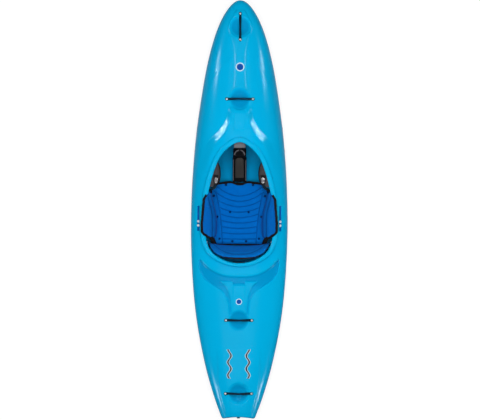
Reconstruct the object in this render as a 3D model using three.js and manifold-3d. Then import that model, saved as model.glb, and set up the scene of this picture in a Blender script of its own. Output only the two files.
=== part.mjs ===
// A whitewater river-running kayak in millimetres: +Y to the bow, +Z up, origin under the middle of the hull.
// One hollow moulded shell carries the seat, its hip pads and back band, thigh braces, foam pillars,
// a sliding foot brace, four grab loops and a screw-in drain plug.
import * as THREE from "three";
import { mergeVertices } from "three/addons/utils/BufferGeometryUtils.js";
import Module from "manifold-3d";

const wasm = await Module();
wasm.setup();

// Driving sizes of the shell
const hull = {
  length: 2745,
  beam: 638,
  depth: 330,
  wall: 7,
  bowRocker: 250,
  sternRocker: 150,
  sternHollow: 12,
  sternRadius: 12,
};
const seatGap = 0.3; // between pieces that rest on each other
const runGap = 1; // between pieces that slide or turn on each other
const overrun = 20; // how far a cutting solid passes through what it cuts

// Places and spans that go with the boat: a share of its length, beam or depth
const ofLength = (share) => share * hull.length;
const ofBeam = (share) => share * hull.beam;
const ofDepth = (share) => share * hull.depth;

// Share of the length from the bow, then the fullness that the square root of that share is multiplied by
const outlineShares = [
  [0, 1.74], [0.05, 1.8], [0.143, 1.738], [0.22, 1.665], [0.335, 1.58], [0.506, 1.406],
  [0.64, 1.22], [0.755, 1.02], [0.87, 0.747], [0.946, 0.524], [1, 0.34],
];
// Share of the length from the bow, then share of the depth
const sheerShares = [[0, 0.8], [0.1, 0.72], [0.3, 0.56], [0.5, 0.5], [0.7, 0.5], [0.85, 0.56], [1, 0.64]];
const deckShares = [
  [0, 0.98], [0.06, 0.985], [0.15, 1.01], [0.25, 1.025], [0.33, 1], [0.45, 0.9], [0.55, 0.81],
  [0.64, 0.75], [0.7, 0.745], [0.8, 0.77], [0.9, 0.79], [1, 0.78],
];
const noseShare = 0.06; // share of the length over which the bow rounds down to its tip
const bowRockerShare = 0.38; // where the bow's rocker starts
const sternRockerShare = 0.64; // where the stern's rocker starts
const sternHollowShare = 0.03;
const flatShare = 0.55; // the flat bottom's share of the beam
const noseFlatShare = 0.2;
const bowRockerPower = 2.2;
const sternRockerPower = 2;
const chinePower = 2.3;
const crownWidthPower = 2.3;
const crownHeightPower = 2;

// Cockpit rim
const rim = {
  front: ofLength(0.172313),
  length: ofLength(0.308197),
  halfWidth: ofBeam(0.406646),
  rise: 28,
  lip: ofBeam(0.052215),
  rearLip: ofBeam(0.037975),
  thickness: 6,
  roll: 5,
};
// Share of the rim's length from its front, then share of the half width of an ellipse there
const rimShares = [
  [0, 0.733], [0.06, 0.83], [0.12, 0.873], [0.25, 0.879], [0.41, 0.918], [0.587, 0.985],
  [0.727, 1.1], [0.835, 1.24], [0.92, 1.345], [1, 1.34],
];

// Deck details
const dish = { depth: 20, radius: 66 };
const loop = { span: 168, width: 20, thickness: 5, lift: 24, tab: 13 };
const loopBolt = { headRadius: 6.5, headHeight: 4, radius: 3, nutRadius: 7, nutHeight: 5 };
const bowLoopPlace = ofLength(0.434608);
const foreLoopPlace = ofLength(0.262659);
const rearLoopPlace = ofLength(-0.263752);
const sternLoopPlace = ofLength(-0.438616);
const spine = { halfWidth: 25, rise: 5, flank: 9 };
const spineShares = [[0, 1.5], [0.3, 1.05], [0.5, 1], [0.75, 1.05], [1, 1.5]]; // of its half width, from the bow
const collar = { rise: 14, front: ofLength(0.251366), rear: ofLength(0.058288), flank: ofBeam(0.098101) };
const panel = { halfWidth: 40, front: ofLength(0.238616), length: ofLength(0.048816), depth: 2.5, groove: 5, radius: 12 };
const crescent = { front: ofLength(-0.157377), sweep: ofLength(0.041894), depth: 10, halfWidth: ofBeam(0.408228), rear: ofLength(-0.170492), tail: ofLength(0.021129) };
const channel = { front: ofLength(-0.170492), rear: ofLength(-0.255009), depth: 7 };
const pocket = { inner: ofBeam(0.406646), width: 17, front: ofLength(0.0102), length: ofLength(0.061931) };

// Drain plug in the stern
const drain = {
  holeRadius: 9,
  bossRadius: 19,
  bossLength: 20,
  headRadius: 13,
  headLength: 9,
  shankLength: 16,
  gasketThickness: 2.5,
  gasketRadius: 12,
  gripWidth: 7,
  spotDepth: 0.6,
  thread: 3,
};

// Seat, its brackets and hip pads
const seat = {
  front: ofLength(0.066302),
  rear: ofLength(-0.08561),
  halfWidth: ofBeam(0.346519),
  height: ofDepth(0.109091),
  sideRise: ofDepth(0.175758),
  noseRise: ofDepth(0.054545),
  noseLength: ofLength(0.047359),
  wall: 5,
  padInset: 4,
  padHalf: ofBeam(0.297468),
  padThickness: 15,
  padRear: ofLength(-0.080874),
  channelDepth: 4,
  channels: 9,
  channelBow: ofLength(0.008015),
};
const padFlareShares = [[0, 0.75], [0.05, 0.86], [0.1, 0.95], [0.2, 1], [0.4, 1], [0.75, 0.97], [1, 0.8]];
const panFlareShares = [
  [0, 0.63], [0.05, 0.735], [0.1, 0.82], [0.2, 0.89], [0.32, 0.96], [0.45, 0.985], [0.75, 0.985], [1, 0.8],
];
const bracket = {
  thickness: 4,
  front: ofLength(0.028415),
  rear: ofLength(-0.084517),
  bottom: ofDepth(0.133333),
  flangeOuter: ofBeam(0.446203),
  boltX: ofBeam(0.420886),
};
const seatBoltPlaces = [ofLength(-0.028051), ofLength(-0.037523)];
const hipPad = {
  front: ofLength(0.042987),
  rear: ofLength(-0.06745),
  bottom: ofDepth(0.306061),
  inner: ofBeam(0.237342),
  footInner: ofBeam(0.262658),
  narrow: ofBeam(0.060127),
  footNarrow: 0.6,
  lap: 26,
  lapThickness: 7,
  crown: 9,
  shoulder: ofDepth(0.109091),
  cornerLength: ofLength(0.011658),
  cut: 20,
};
const hipPadNarrowShares = [[0, 1], [0.25, 0.62], [0.5, 0.12], [0.65, 0], [1, 0]];

// Back band with its pivot bolts and straps
const band = {
  halfWidth: ofBeam(0.34019),
  ends: ofLength(-0.079053),
  depth: ofLength(0.01530),
  bottom: ofDepth(0.369697),
  top: ofDepth(0.781818),
  lean: 0.55,
  thickness: 4,
  padThickness: 17,
  padGap: 2.3,
  padHalf: ofBeam(0.316456),
  pivotY: ofLength(-0.077596),
  pivotZ: ofDepth(0.430303),
  tabReach: 17,
  tabHalf: 14,
};
const strap = { halfHeight: 10, thickness: 2.4 };

// Thigh braces, their pads and the ratchets on them
const brace = {
  front: ofLength(0.117304),
  rear: ofLength(0.054645),
  inner: ofBeam(0.196203),
  flange: 9,
  thickness: 5,
  hook: ofDepth(0.10303),
  padThickness: 10,
  padInset: 8,
  boltY: ofLength(0.085974),
};
const ratchet = {
  x: ofBeam(0.240506),
  front: ofLength(0.082332),
  length: 56,
  halfWidth: 15,
  height: 7,
  cheek: 3,
  cheekHeight: 21,
  axleRadius: 3,
  leverLength: 52,
  leverThickness: 3,
};

// Centre line: console, pillars and the pillar's bracket
const consoleSize = { front: ofLength(0.126776), rear: ofLength(0.068488), half: 46, rail: 8, railHeight: 7, frontHeight: ofDepth(0.521212), rearHeight: ofDepth(0.224242) };
const slab = { front: ofLength(0.125319), rear: ofLength(0.077231), half: 32, thickness: 11 };
const pillarBracket = { front: ofLength(0.147177), rear: ofLength(0.127505), half: 43, top: ofDepth(0.70303), archRadius: 20, eyeRadius: 15, eyeTube: 4 };
const frontPillar = { front: ofLength(0.276867), rear: ofLength(0.147541), half: 37 };
const rearPillar = { front: ofLength(-0.126047), rear: ofLength(-0.320583), half: 42 };

// Foot brace on its two tracks
const foot = {
  y: ofLength(0.309654),
  travel: ofLength(0.021858),
  thickness: 10,
  bottom: ofDepth(0.284848),
  top: ofDepth(0.909091),
  clearance: 10,
  padThickness: 15,
  padInset: 20,
  armHeight: 20,
  armThickness: 4,
  armRear: ofLength(0.125683),
  armBend: ofLength(0.2157),
  armEnd: ofBeam(0.294304),
  slotHalf: 12,
};
const track = { front: ofLength(0.204007), rear: ofLength(0.120219), z: ofDepth(0.484848), height: 26, inner: ofBeam(0.392405), thickness: 9, footHalf: 15 };
const trackBoltPlaces = [ofLength(0.141712), ofLength(0.196721)];

// Small bolt that holds the outfitting
const bolt = { headRadius: 7, headHeight: 4, radius: 3, nutRadius: 6, nutHeight: 4 };

// Smooth curve through a table of [share, value] rows
function curveThrough(rows, x) {
  const last = rows.length - 1;
  if (x <= rows[0][0]) return rows[0][1];
  if (x >= rows[last][0]) return rows[last][1];
  const i = rows.findIndex((row) => row[0] > x) - 1;
  const slope = (a, b) => (rows[b][1] - rows[a][1]) / (rows[b][0] - rows[a][0]);
  const width = rows[i + 1][0] - rows[i][0];
  const t = (x - rows[i][0]) / width;
  const slopeIn = slope(Math.max(i - 1, 0), i + 1) * width;
  const slopeOut = slope(i, Math.min(i + 2, last)) * width;
  return (
    (2 * t ** 3 - 3 * t ** 2 + 1) * rows[i][1] +
    (t ** 3 - 2 * t ** 2 + t) * slopeIn +
    (3 * t ** 2 - 2 * t ** 3) * rows[i + 1][1] +
    (t ** 3 - t ** 2) * slopeOut
  );
}

const clamp01 = (x) => Math.min(Math.max(x, 0), 1);
const smoothStep = (x) => clamp01(x) ** 2 * (3 - 2 * clamp01(x));
const mix = (a, b, t) => a + (b - a) * t;

// Shape of the shell at a share of its length from the bow
const shareAt = (y) => clamp01(0.5 - y / hull.length);
const halfBeam = (s) => (hull.beam / 2) * Math.sqrt(s) * curveThrough(outlineShares, s);
const noseRound = (s) => Math.sqrt(1 - (1 - clamp01(s / noseShare)) ** 2);
const sheerHeight = (s) => hull.depth * curveThrough(sheerShares, s);
const crownHeight = (s) => (hull.depth * curveThrough(deckShares, s) - sheerHeight(s)) * noseRound(s);
const flatHalf = (s) => flatShare * smoothStep(s / noseFlatShare);

function keelHeight(s) {
  const bow = clamp01((bowRockerShare - s) / bowRockerShare) ** bowRockerPower;
  const stern = clamp01((s - sternRockerShare) / (1 - sternRockerShare)) ** sternRockerPower;
  return hull.bowRocker * bow + hull.sternRocker * stern;
}

const keelDrop = (s) => (sheerHeight(s) - keelHeight(s)) * noseRound(s);

// Height of the deck's outer face, and of the bottom's, over a point of the plan
function deckHeight(x, y) {
  const s = shareAt(y);
  const across = clamp01(Math.abs(x) / halfBeam(s));
  return sheerHeight(s) + crownHeight(s) * (1 - across ** crownWidthPower) ** (1 / crownHeightPower);
}

function floorHeight(x, y) {
  const s = shareAt(y);
  const half = halfBeam(s);
  const flat = flatHalf(s) * half;
  const across = clamp01((Math.abs(x) - flat) / (half - flat));
  return sheerHeight(s) - keelDrop(s) * (1 - across ** chinePower) ** (1 / chinePower);
}

// Inside half width of the shell at a height
function insideHalf(y, z) {
  const s = shareAt(y);
  const half = halfBeam(s);
  const up = z - sheerHeight(s);
  const share =
    up > 0
      ? (1 - clamp01(up / crownHeight(s)) ** crownHeightPower) ** (1 / crownWidthPower)
      : flatHalf(s) +
        (1 - flatHalf(s)) * (1 - clamp01(-up / keelDrop(s)) ** chinePower) ** (1 / chinePower);
  return share * half - hull.wall;
}

// Geometry helpers
function fromFaces(points, faces) {
  const flat = new Float32Array(points.flatMap((p) => [p.x, p.y, p.z]));
  let volume = 0;
  for (const [a, b, c] of faces) volume += points[a].dot(points[b].clone().cross(points[c]));
  const turned = volume < 0 ? faces.map(([a, b, c]) => [a, c, b]) : faces;
  const geometry = new THREE.BufferGeometry();
  geometry.setAttribute("position", new THREE.BufferAttribute(flat, 3));
  geometry.setIndex(turned.flat());
  return geometry;
}

// A body lofted through rings of points, each end closed by a fan round a centre point
function loftBody(rings, startCentre, endCentre) {
  const count = rings[0].length;
  const points = [...rings.flat(), startCentre, endCentre];
  const first = points.length - 2;
  const faces = [];
  for (let j = 0; j < count; j++) {
    const k = (j + 1) % count;
    faces.push([first, k, j], [first + 1, first - count + j, first - count + k]);
    for (let i = 0; i + 1 < rings.length; i++) {
      const a = i * count;
      const b = a + count;
      if (j < count / 2) faces.push([a + j, a + k, b + j], [a + k, b + k, b + j]);
      else faces.push([a + j, a + k, b + k], [a + j, b + k, b + j]);
    }
  }
  return fromFaces(points, faces);
}

// A body between two faces: place(u, v) gives the point on each; along u it may close on itself
function sheetBody(along, across, place, closed = false) {
  const rows = closed ? along : along + 1;
  const points = [];
  for (let i = 0; i < rows; i++)
    for (let j = 0; j <= across; j++) points.push(...place(i / along, j / across));
  const id = (i, j, side) => 2 * ((i % rows) * (across + 1) + j) + side;
  const faces = [];
  const quad = (a, b, c, d) => faces.push([a, b, c], [a, c, d]);
  for (let i = 0; i < along; i++) {
    for (let j = 0; j < across; j++) {
      quad(id(i, j, 0), id(i + 1, j, 0), id(i + 1, j + 1, 0), id(i, j + 1, 0));
      quad(id(i, j, 1), id(i, j + 1, 1), id(i + 1, j + 1, 1), id(i + 1, j, 1));
    }
    quad(id(i, 0, 0), id(i, 0, 1), id(i + 1, 0, 1), id(i + 1, 0, 0));
    quad(id(i, across, 0), id(i + 1, across, 0), id(i + 1, across, 1), id(i, across, 1));
  }
  if (!closed)
    for (let j = 0; j < across; j++) {
      quad(id(0, j, 0), id(0, j + 1, 0), id(0, j + 1, 1), id(0, j, 1));
      quad(id(along, j, 0), id(along, j, 1), id(along, j + 1, 1), id(along, j + 1, 0));
    }
  return fromFaces(points, faces);
}

function toSolid(geometry) {
  const plain = geometry.index ? geometry.clone() : geometry;
  plain.deleteAttribute("normal");
  plain.deleteAttribute("uv");
  const merged = mergeVertices(plain, 1e-3);
  return new wasm.Manifold(
    new wasm.Mesh({
      numProp: 3,
      vertProperties: new Float32Array(merged.attributes.position.array),
      triVerts: new Uint32Array(merged.index.array),
    }),
  );
}

function toGeometry(solid) {
  const mesh = solid.getMesh();
  const geometry = new THREE.BufferGeometry();
  const place = new Float32Array(mesh.numVert * 3);
  for (let i = 0; i < mesh.numVert; i++)
    for (let k = 0; k < 3; k++) place[3 * i + k] = mesh.vertProperties[mesh.numProp * i + k];
  geometry.setAttribute("position", new THREE.BufferAttribute(place, 3));
  geometry.setIndex(new THREE.BufferAttribute(mesh.triVerts, 1));
  return geometry;
}

const joined = (geometries) => geometries.map(toSolid).reduce((a, b) => a.add(b));
const cutBy = (solid, geometries) => geometries.reduce((a, g) => a.subtract(toSolid(g)), solid);

// A turned body from [radius, height] rows, standing on +Z, then pointed along a direction
function turned(rows, sides, direction = new THREE.Vector3(0, 0, 1), at = new THREE.Vector3()) {
  const outline = rows.map(([r, h]) => new THREE.Vector2(r, h));
  const geometry = new THREE.LatheGeometry(outline, sides).rotateX(Math.PI / 2);
  const turn = new THREE.Quaternion().setFromUnitVectors(new THREE.Vector3(0, 0, 1), direction);
  return geometry.applyQuaternion(turn).translate(at.x, at.y, at.z);
}

const rod = (radius, from, to, sides, direction, at) =>
  turned([[0, from], [radius, from], [radius, to], [0, to]], sides, direction, at);

// An outline of [a, b] rows, extruded: a lies along X and b along Y, and the depth along Z
function extruded(rows, depth) {
  const shape = new THREE.Shape(rows.map(([a, b]) => new THREE.Vector2(a, b)));
  return new THREE.ExtrudeGeometry(shape, { depth, bevelEnabled: false });
}

// Hull shell
function shellRing(s, inset, steps) {
  const half = halfBeam(s) - inset;
  const end = clamp01((s - 1 + hull.sternRadius / hull.length) / (hull.sternRadius / hull.length));
  const corner = hull.sternRadius * (1 - Math.sqrt(1 - end ** 2)) * 0.8;
  const width = half - corner;
  const rise = crownHeight(s) - inset - corner;
  const drop = keelDrop(s) - inset - corner;
  const flat = flatHalf(s) * width;
  const hollow = hull.sternHollow * smoothStep((s - 1 + sternHollowShare) / sternHollowShare);
  const [flatSteps, chineSteps, crownSteps] = steps;
  const right = [];
  for (let i = 0; i < flatSteps; i++) right.push([(flat * i) / flatSteps, -drop]);
  for (let i = 0; i < chineSteps; i++) {
    const turn = (i / chineSteps) * (Math.PI / 2);
    const out = Math.sin(turn) ** (2 / chinePower);
    right.push([mix(flat, width, out), -drop * Math.cos(turn) ** (2 / chinePower)]);
  }
  for (let i = 0; i < crownSteps; i++) {
    const turn = (i / crownSteps) * (Math.PI / 2);
    const out = Math.cos(turn) ** (2 / crownWidthPower);
    right.push([width * out, rise * Math.sin(turn) ** (2 / crownHeightPower)]);
  }
  right.push([0, rise]);
  const left = right.slice(1, -1).map(([x, z]) => [-x, z]).reverse();
  const y = hull.length * (0.5 - s);
  return [...right, ...left].map(
    ([x, z]) => new THREE.Vector3(x, y + hollow * (1 - (x / width) ** 2), z + sheerHeight(s)),
  );
}

function shellBody(inset, from, to, stations, steps) {
  const rings = [];
  for (let i = 0; i <= stations; i++)
    rings.push(shellRing(mix(from, to, smoothStep(i / stations)), inset, steps));
  if (from === 0) rings.shift();
  const centre = (s, ring) => new THREE.Vector3(0, Math.max(...ring.map((p) => p.y)), sheerHeight(s));
  const tip = new THREE.Vector3(0, hull.length / 2, sheerHeight(0));
  return loftBody(rings, from === 0 ? tip : centre(from, rings[0]), centre(to, rings[rings.length - 1]));
}

// Cockpit rim, by a share round it from its front
function rimOuter(t) {
  const along = (1 - Math.cos(2 * Math.PI * t)) / 2;
  const across = Math.sin(2 * Math.PI * t) * curveThrough(rimShares, along);
  return new THREE.Vector2(rim.halfWidth * across, rim.front - rim.length * along);
}

function rimPoint(t, inward) {
  const step = 1e-3;
  const run = rimOuter(t + step).sub(rimOuter(t - step)).normalize();
  return rimOuter(t).add(new THREE.Vector2(run.y, -run.x).multiplyScalar(inward));
}

const rimAlong = (t) => (1 - Math.cos(2 * Math.PI * t)) / 2;
const lipWidth = (t) => mix(rim.lip, rim.rearLip, smoothStep((rimAlong(t) - 0.8) / 0.2));
const rimTop = (t) => deckHeight(rimOuter(t).x, rimOuter(t).y) + rim.rise;
const rimSteps = 32;

function rimLip() {
  return sheetBody(
    rimSteps,
    3,
    (t, v) => {
      const p = rimPoint(t, lipWidth(t) * (1 - v));
      const top = rimTop(t) - (v === 1 ? rim.roll / 3 : 0);
      const under = rim.thickness + (v > 0.5 ? rim.roll * (v - 0.5) * 2 : 0);
      return [new THREE.Vector3(p.x, p.y, top - under), new THREE.Vector3(p.x, p.y, top)];
    },
    true,
  );
}

function rimRiser() {
  return sheetBody(
    rimSteps,
    1,
    (t, v) => {
      const p = rimPoint(t, lipWidth(t) - rim.thickness * v);
      const low = deckHeight(p.x, p.y) - hull.wall / 2;
      return [new THREE.Vector3(p.x, p.y, low), new THREE.Vector3(p.x, p.y, rimTop(t) - rim.thickness / 2)];
    },
    true,
  );
}

function cockpitOpening() {
  const rows = [];
  for (let i = 0; i < rimSteps; i++) {
    const p = rimPoint(i / rimSteps, lipWidth(i / rimSteps));
    rows.push([p.x, p.y]);
  }
  const low = hull.depth / 2;
  return extruded(rows, hull.depth).translate(0, 0, low);
}

// Hand recess under a grab loop: a ball's cap, grown to keep the wall where it cuts the hollow
function dishBall(y, grow) {
  const ball = (dish.radius ** 2 + dish.depth ** 2) / (2 * dish.depth);
  const rings = grow ? 3 : 5;
  const sides = grow ? 14 : 22;
  const rows = [];
  for (let i = 0; i <= rings; i++) {
    const turn = (i / rings) * Math.asin(clamp01((dish.radius * 1.25) / ball));
    rows.push([(ball + grow) * Math.sin(turn), -(ball + grow) * Math.cos(turn)]);
  }
  rows.push([0, rows[rings][1]]);
  const up = new THREE.Vector3(0, 0, 1);
  return turned(rows, sides, up, new THREE.Vector3(0, y, deckHeight(0, y) + ball - dish.depth));
}

const loopPlaces = { bow: bowLoopPlace, fore: foreLoopPlace, rear: rearLoopPlace, stern: sternLoopPlace };

// Raised collar round the cockpit's front, running into the spine that joins the two bow recesses
const collarHalfShares = [
  [0, 0.22], [0.16, 0.222], [0.235, 0.24], [0.296, 0.285], [0.358, 0.36], [0.457, 0.55],
  [0.547, 0.66], [0.63, 0.735], [0.736, 0.81], [0.84, 0.87], [1, 0.94],
];
const collarFlankShares = [[0, 0.4], [0.15, 0.45], [0.3, 0.85], [0.42, 1], [0.6, 0.75], [1, 0.4]];

function collarBody() {
  return sheetBody(14, 8, (u, v) => {
    const y = mix(collar.front, collar.rear, u);
    const top = rim.halfWidth * curveThrough(collarHalfShares, u);
    const flank = collar.flank * curveThrough(collarFlankShares, u);
    const across = Math.abs(2 * v - 1);
    const share = clamp01((across - 0.5) * 2);
    const x = Math.sign(2 * v - 1) * (top * Math.min(across * 2, 1) + flank * share);
    const ends = smoothStep(u * 8) * smoothStep((1 - u) * 2);
    const lift = collar.rise * (1 - share) ** 1.6 * ends - (share === 1 || ends === 0 ? 1 : 0);
    const z = deckHeight(x, y);
    return [new THREE.Vector3(x, y, z - hull.wall / 2), new THREE.Vector3(x, y, z + lift)];
  });
}

function spineBody() {
  return sheetBody(8, 6, (u, v) => {
    const y = mix(bowLoopPlace - dish.radius * 0.8, foreLoopPlace + dish.radius * 0.8, u);
    const half = spine.halfWidth * curveThrough(spineShares, u) + spine.flank;
    const x = half * (2 * v - 1);
    const lift = spine.rise * smoothStep((half - Math.abs(x)) / spine.flank) - (v === 0 || v === 1 ? 1 : 0);
    const z = deckHeight(x, y);
    return [new THREE.Vector3(x, y, z - hull.wall / 2), new THREE.Vector3(x, y, z + lift)];
  });
}

// Hollow behind the cockpit, swept forward at its ends, and the two channels that run back from it
function crescentBody(grow) {
  return sheetBody(18, 2, (u, v) => {
    const w = 2 * u - 1;
    const x = (crescent.halfWidth + grow) * w;
    const front = crescent.front + crescent.sweep * Math.abs(w) ** 2.7 + grow;
    const rear = crescent.rear - crescent.tail * Math.sin(Math.PI * Math.abs(w)) ** 1.5 * (1 - Math.abs(w) / 2);
    const y = mix(front, Math.min(rear + crescent.sweep * Math.abs(w) ** 6, front - 4) - grow, v);
    const z = deckHeight(x, y);
    const low = z - crescent.depth * Math.sqrt(1 - w ** 6) - grow;
    return [new THREE.Vector3(x, y, low), new THREE.Vector3(x, y, z + overrun)];
  });
}

const channelInnerShares = [[0, 0.34], [0.15, 0.28], [0.35, 0.24], [1, 0.235]];
const channelOuterShares = [[0, 0.56], [0.15, 0.44], [0.35, 0.34], [0.6, 0.285], [1, 0.27]];

function channelBody(side, grow) {
  return sheetBody(10, 1, (u, v) => {
    const y = mix(channel.front + grow, channel.rear - grow, u);
    const inner = rim.halfWidth * curveThrough(channelInnerShares, u) - grow;
    const outer = rim.halfWidth * curveThrough(channelOuterShares, u) + grow;
    const x = side * mix(inner, outer, v);
    const z = deckHeight(x, y);
    return [new THREE.Vector3(x, y, z - channel.depth - grow), new THREE.Vector3(x, y, z + overrun)];
  });
}

// Raised panel's groove in front of the cockpit
function panelGroove() {
  const block = (inset) =>
    sheetBody(6, 4, (u, v) => {
      const y = mix(panel.front - inset, panel.front - panel.length + inset, u);
      const x = (panel.halfWidth - inset) * (2 * v - 1);
      const z = deckHeight(x, y) + collar.rise;
      return [new THREE.Vector3(x, y, z - panel.depth), new THREE.Vector3(x, y, z + overrun)];
    });
  return toGeometry(toSolid(block(0)).subtract(toSolid(block(panel.groove))));
}

// Long pockets beside the rim for the seat's bolts: level floors that run out to the deck at the rear
const pocketFloor = deckHeight(pocket.inner + pocket.width / 2, pocket.front - pocket.length);

function pocketBody(side, grow) {
  const middle = pocket.front - pocket.length / 2;
  const length = pocket.length + 2 * grow;
  return new THREE.BoxGeometry(pocket.width + 2 * grow, length, hull.depth).translate(
    side * (pocket.inner + pocket.width / 2),
    middle,
    pocketFloor - grow + hull.depth / 2,
  );
}

// Solids that other pieces are fitted to
const cavityFrom = 0.02;
const cavityTo = 1 - hull.wall / hull.length;
const outerSteps = [1, 5, 7];
const innerSteps = [1, 3, 5];
const recesses = (grow) => [
  ...Object.values(loopPlaces).map((y) => dishBall(y, grow)),
  crescentBody(grow),
  channelBody(1, grow),
  channelBody(-1, grow),
  pocketBody(1, grow),
  pocketBody(-1, grow),
];
const drainY = -hull.length / 2 + hull.sternHollow;
const drainZ = sheerHeight(1);
const sternward = new THREE.Vector3(0, -1, 0);
const upward = new THREE.Vector3(0, 0, 1);
const drainAt = new THREE.Vector3(0, drainY, drainZ);
const drainBoss = rod(drain.bossRadius, -drain.bossLength, 0, 20, sternward, drainAt);
const cavity = cutBy(toSolid(shellBody(hull.wall, cavityFrom, cavityTo, 16, innerSteps)), [
  ...recesses(hull.wall),
  drainBoss,
]);
const skin = cutBy(
  [collarBody(), spineBody()].map(toSolid).reduce((a, b) => a.add(b), toSolid(shellBody(0, 0, 1, 30, outerSteps))),
  [...recesses(0), panelGroove()],
);

// Keeps a piece a seat's gap clear of the floor and of the deck's underside
const insideShell = (geometry) =>
  toSolid(geometry)
    .intersect(cavity.translate(0, 0, seatGap))
    .intersect(cavity.translate(0, 0, -seatGap));

// Keeps a piece a seat's gap clear of the shell's outer face, along a direction
const outsideShell = (solid, way) => solid.subtract(skin.translate(way.x * seatGap, way.y * seatGap, way.z * seatGap));

const mirrored = (solid) => solid.mirror([1, 0, 0]);
const webInner = rim.halfWidth - rim.lip - seatGap * 5;

const group = new THREE.Group();
const finishes = {
  shell: { color: 0x00a5da, roughness: 0.28, metalness: 0 },
  blackPlastic: { color: 0x1a1a1c, roughness: 0.55, metalness: 0 },
  greyPlastic: { color: 0x3a3a3d, roughness: 0.5, metalness: 0 },
  seatFoam: { color: 0x035fac, roughness: 0.85, metalness: 0 },
  bandFabric: { color: 0x0469b9, roughness: 0.9, metalness: 0 },
  blackFoam: { color: 0x2a2a2c, roughness: 0.95, metalness: 0 },
  greyFoam: { color: 0x8d8f92, roughness: 0.95, metalness: 0 },
  webbing: { color: 0x0b2d3a, roughness: 0.8, metalness: 0 },
  steel: { color: 0xc4c6c8, roughness: 0.3, metalness: 1 },
  aluminium: { color: 0xa9adb1, roughness: 0.4, metalness: 1 },
  rubber: { color: 0x111112, roughness: 0.9, metalness: 0 },
};

function place(name, shape, finish) {
  const geometry = shape.isBufferGeometry ? shape : toGeometry(shape);
  const mesh = new THREE.Mesh(geometry, new THREE.MeshStandardMaterial(finishes[finish]));
  mesh.name = name;
  group.add(mesh);
}

const sides = { left: -1, right: 1 };
const bothSides = (make) => Object.entries(sides).forEach(([name, side]) => make(name, side));

// Furthest reach of a solid along a direction, within a radius round an axis
const boltSides = 8;

function reachAlong(solid, at, way, radius) {
  const probe = toSolid(rod(radius, -overrun * 2, overrun, boltSides, way, at)).intersect(solid);
  const geometry = toGeometry(probe);
  const point = new THREE.Vector3();
  let reach = -overrun * 2;
  for (let i = 0; i < geometry.attributes.position.count; i++) {
    point.fromBufferAttribute(geometry.attributes.position, i);
    reach = Math.max(reach, point.sub(at).dot(way));
  }
  return reach;
}

const deckNormal = (x, y) =>
  new THREE.Vector3(
    (deckHeight(x - runGap, y) - deckHeight(x + runGap, y)) / (2 * runGap),
    (deckHeight(x, y - runGap) - deckHeight(x, y + runGap)) / (2 * runGap),
    1,
  ).normalize();
const deckPoint = (x, y) => new THREE.Vector3(x, y, deckHeight(x, y));

// A bolt square to the deck: under its head lies a stack of a thickness, and its nut bears on the last solid
function deckBolt(name, x, y, stack, size, below) {
  const way = deckNormal(x, y);
  const foot = deckPoint(x, y);
  const lift = reachAlong(skin, foot, way, size.headRadius) + stack;
  const nutLevel = -reachAlong(below, foot, way.clone().negate(), size.nutRadius);
  return { name, at: foot.addScaledVector(way, lift), way, grip: lift - nutLevel, size };
}

const shellBlock = new THREE.BoxGeometry(hull.beam, hull.length, hull.depth * 2).translate(0, 0, hull.depth);
const aroundCavity = toSolid(shellBlock).subtract(cavity);
const loopTabs = Object.entries(loopPlaces).flatMap(([name, y]) =>
  [-1, 1].map((way) => {
    const along = name === "bow";
    const reach = (way * loop.span) / 2;
    const end = along ? (way > 0 ? "front" : "rear") : way > 0 ? "right" : "left";
    return { name: `${name}_loop_${end}_bolt`, x: along ? 0 : reach, y: along ? y + reach : y };
  }),
);
const loopBolts = loopTabs.map(({ name, x, y }) =>
  deckBolt(name, x, y, loop.thickness + 2 * seatGap, loopBolt, aroundCavity),
);

const flangeTop = pocketFloor - hull.wall - seatGap;
const seatBolts = [];
const braceBolts = [];
const trackBolts = [];
const pivotBolts = [];
bothSides((name, side) => {
  seatBoltPlaces.forEach((y, i) =>
    seatBolts.push({
      name: `${name}_seat_bolt_${i ? "rear" : "front"}`,
      at: new THREE.Vector3(side * bracket.boltX, y, pocketFloor),
      way: upward,
      grip: hull.wall + seatGap + bracket.thickness,
      size: bolt,
    }),
  );
  const plate = side > 0 ? bracePlate() : mirrored(bracePlate());
  braceBolts.push(deckBolt(`${name}_brace_bolt`, side * braceBoltX(), brace.boltY, 0, bolt, plate));
  trackBoltPlaces.forEach((y, i) => {
    const way = new THREE.Vector3(side, 0, 0);
    const at = new THREE.Vector3(side * (insideHalf(y, track.z) + hull.wall), y, track.z);
    const lift = reachAlong(skin, at, way, bolt.headRadius);
    trackBolts.push({
      name: `${name}_track_bolt_${i ? "front" : "rear"}`,
      at: at.addScaledVector(way, lift),
      way,
      grip: Math.abs(at.x) - track.inner - track.thickness / 2,
      size: { ...bolt, nutHeight: 0 },
    });
  });
  pivotBolts.push({
    name: `${name}_band_pivot_bolt`,
    at: new THREE.Vector3(side * (band.halfWidth - band.thickness), band.pivotY, band.pivotZ),
    way: new THREE.Vector3(-side, 0, 0),
    grip: webInner + bracket.thickness - band.halfWidth + band.thickness,
    size: bolt,
  });
});

// A domed bolt head, its shank and the nut run on at the far end, in one turned body
function boltRows({ headRadius, headHeight, radius, nutRadius, nutHeight }, grip) {
  const end = -grip - 2 * seatGap;
  const nut = [[0, end - nutHeight], [nutRadius, end - nutHeight], [nutRadius, end]];
  return [
    ...(nutHeight ? nut : [[0, end]]),
    [radius, end],
    [radius, 0],
    [headRadius, 0],
    [headRadius, headHeight * 0.4],
    [headRadius * 0.6, headHeight * 0.92],
    [0, headHeight],
  ];
}

const lifted = ({ at, way }) => at.clone().addScaledVector(way, seatGap);
const boltBody = (b) => turned(boltRows(b.size, b.grip), boltSides, b.way, lifted(b));
const boltHole = (b) => rod(b.size.radius + seatGap, -b.grip - overrun, overrun, boltSides, b.way, b.at);
const headRoom = (b) => rod(b.size.headRadius + runGap, 0, overrun, boltSides, b.way, b.at);

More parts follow.
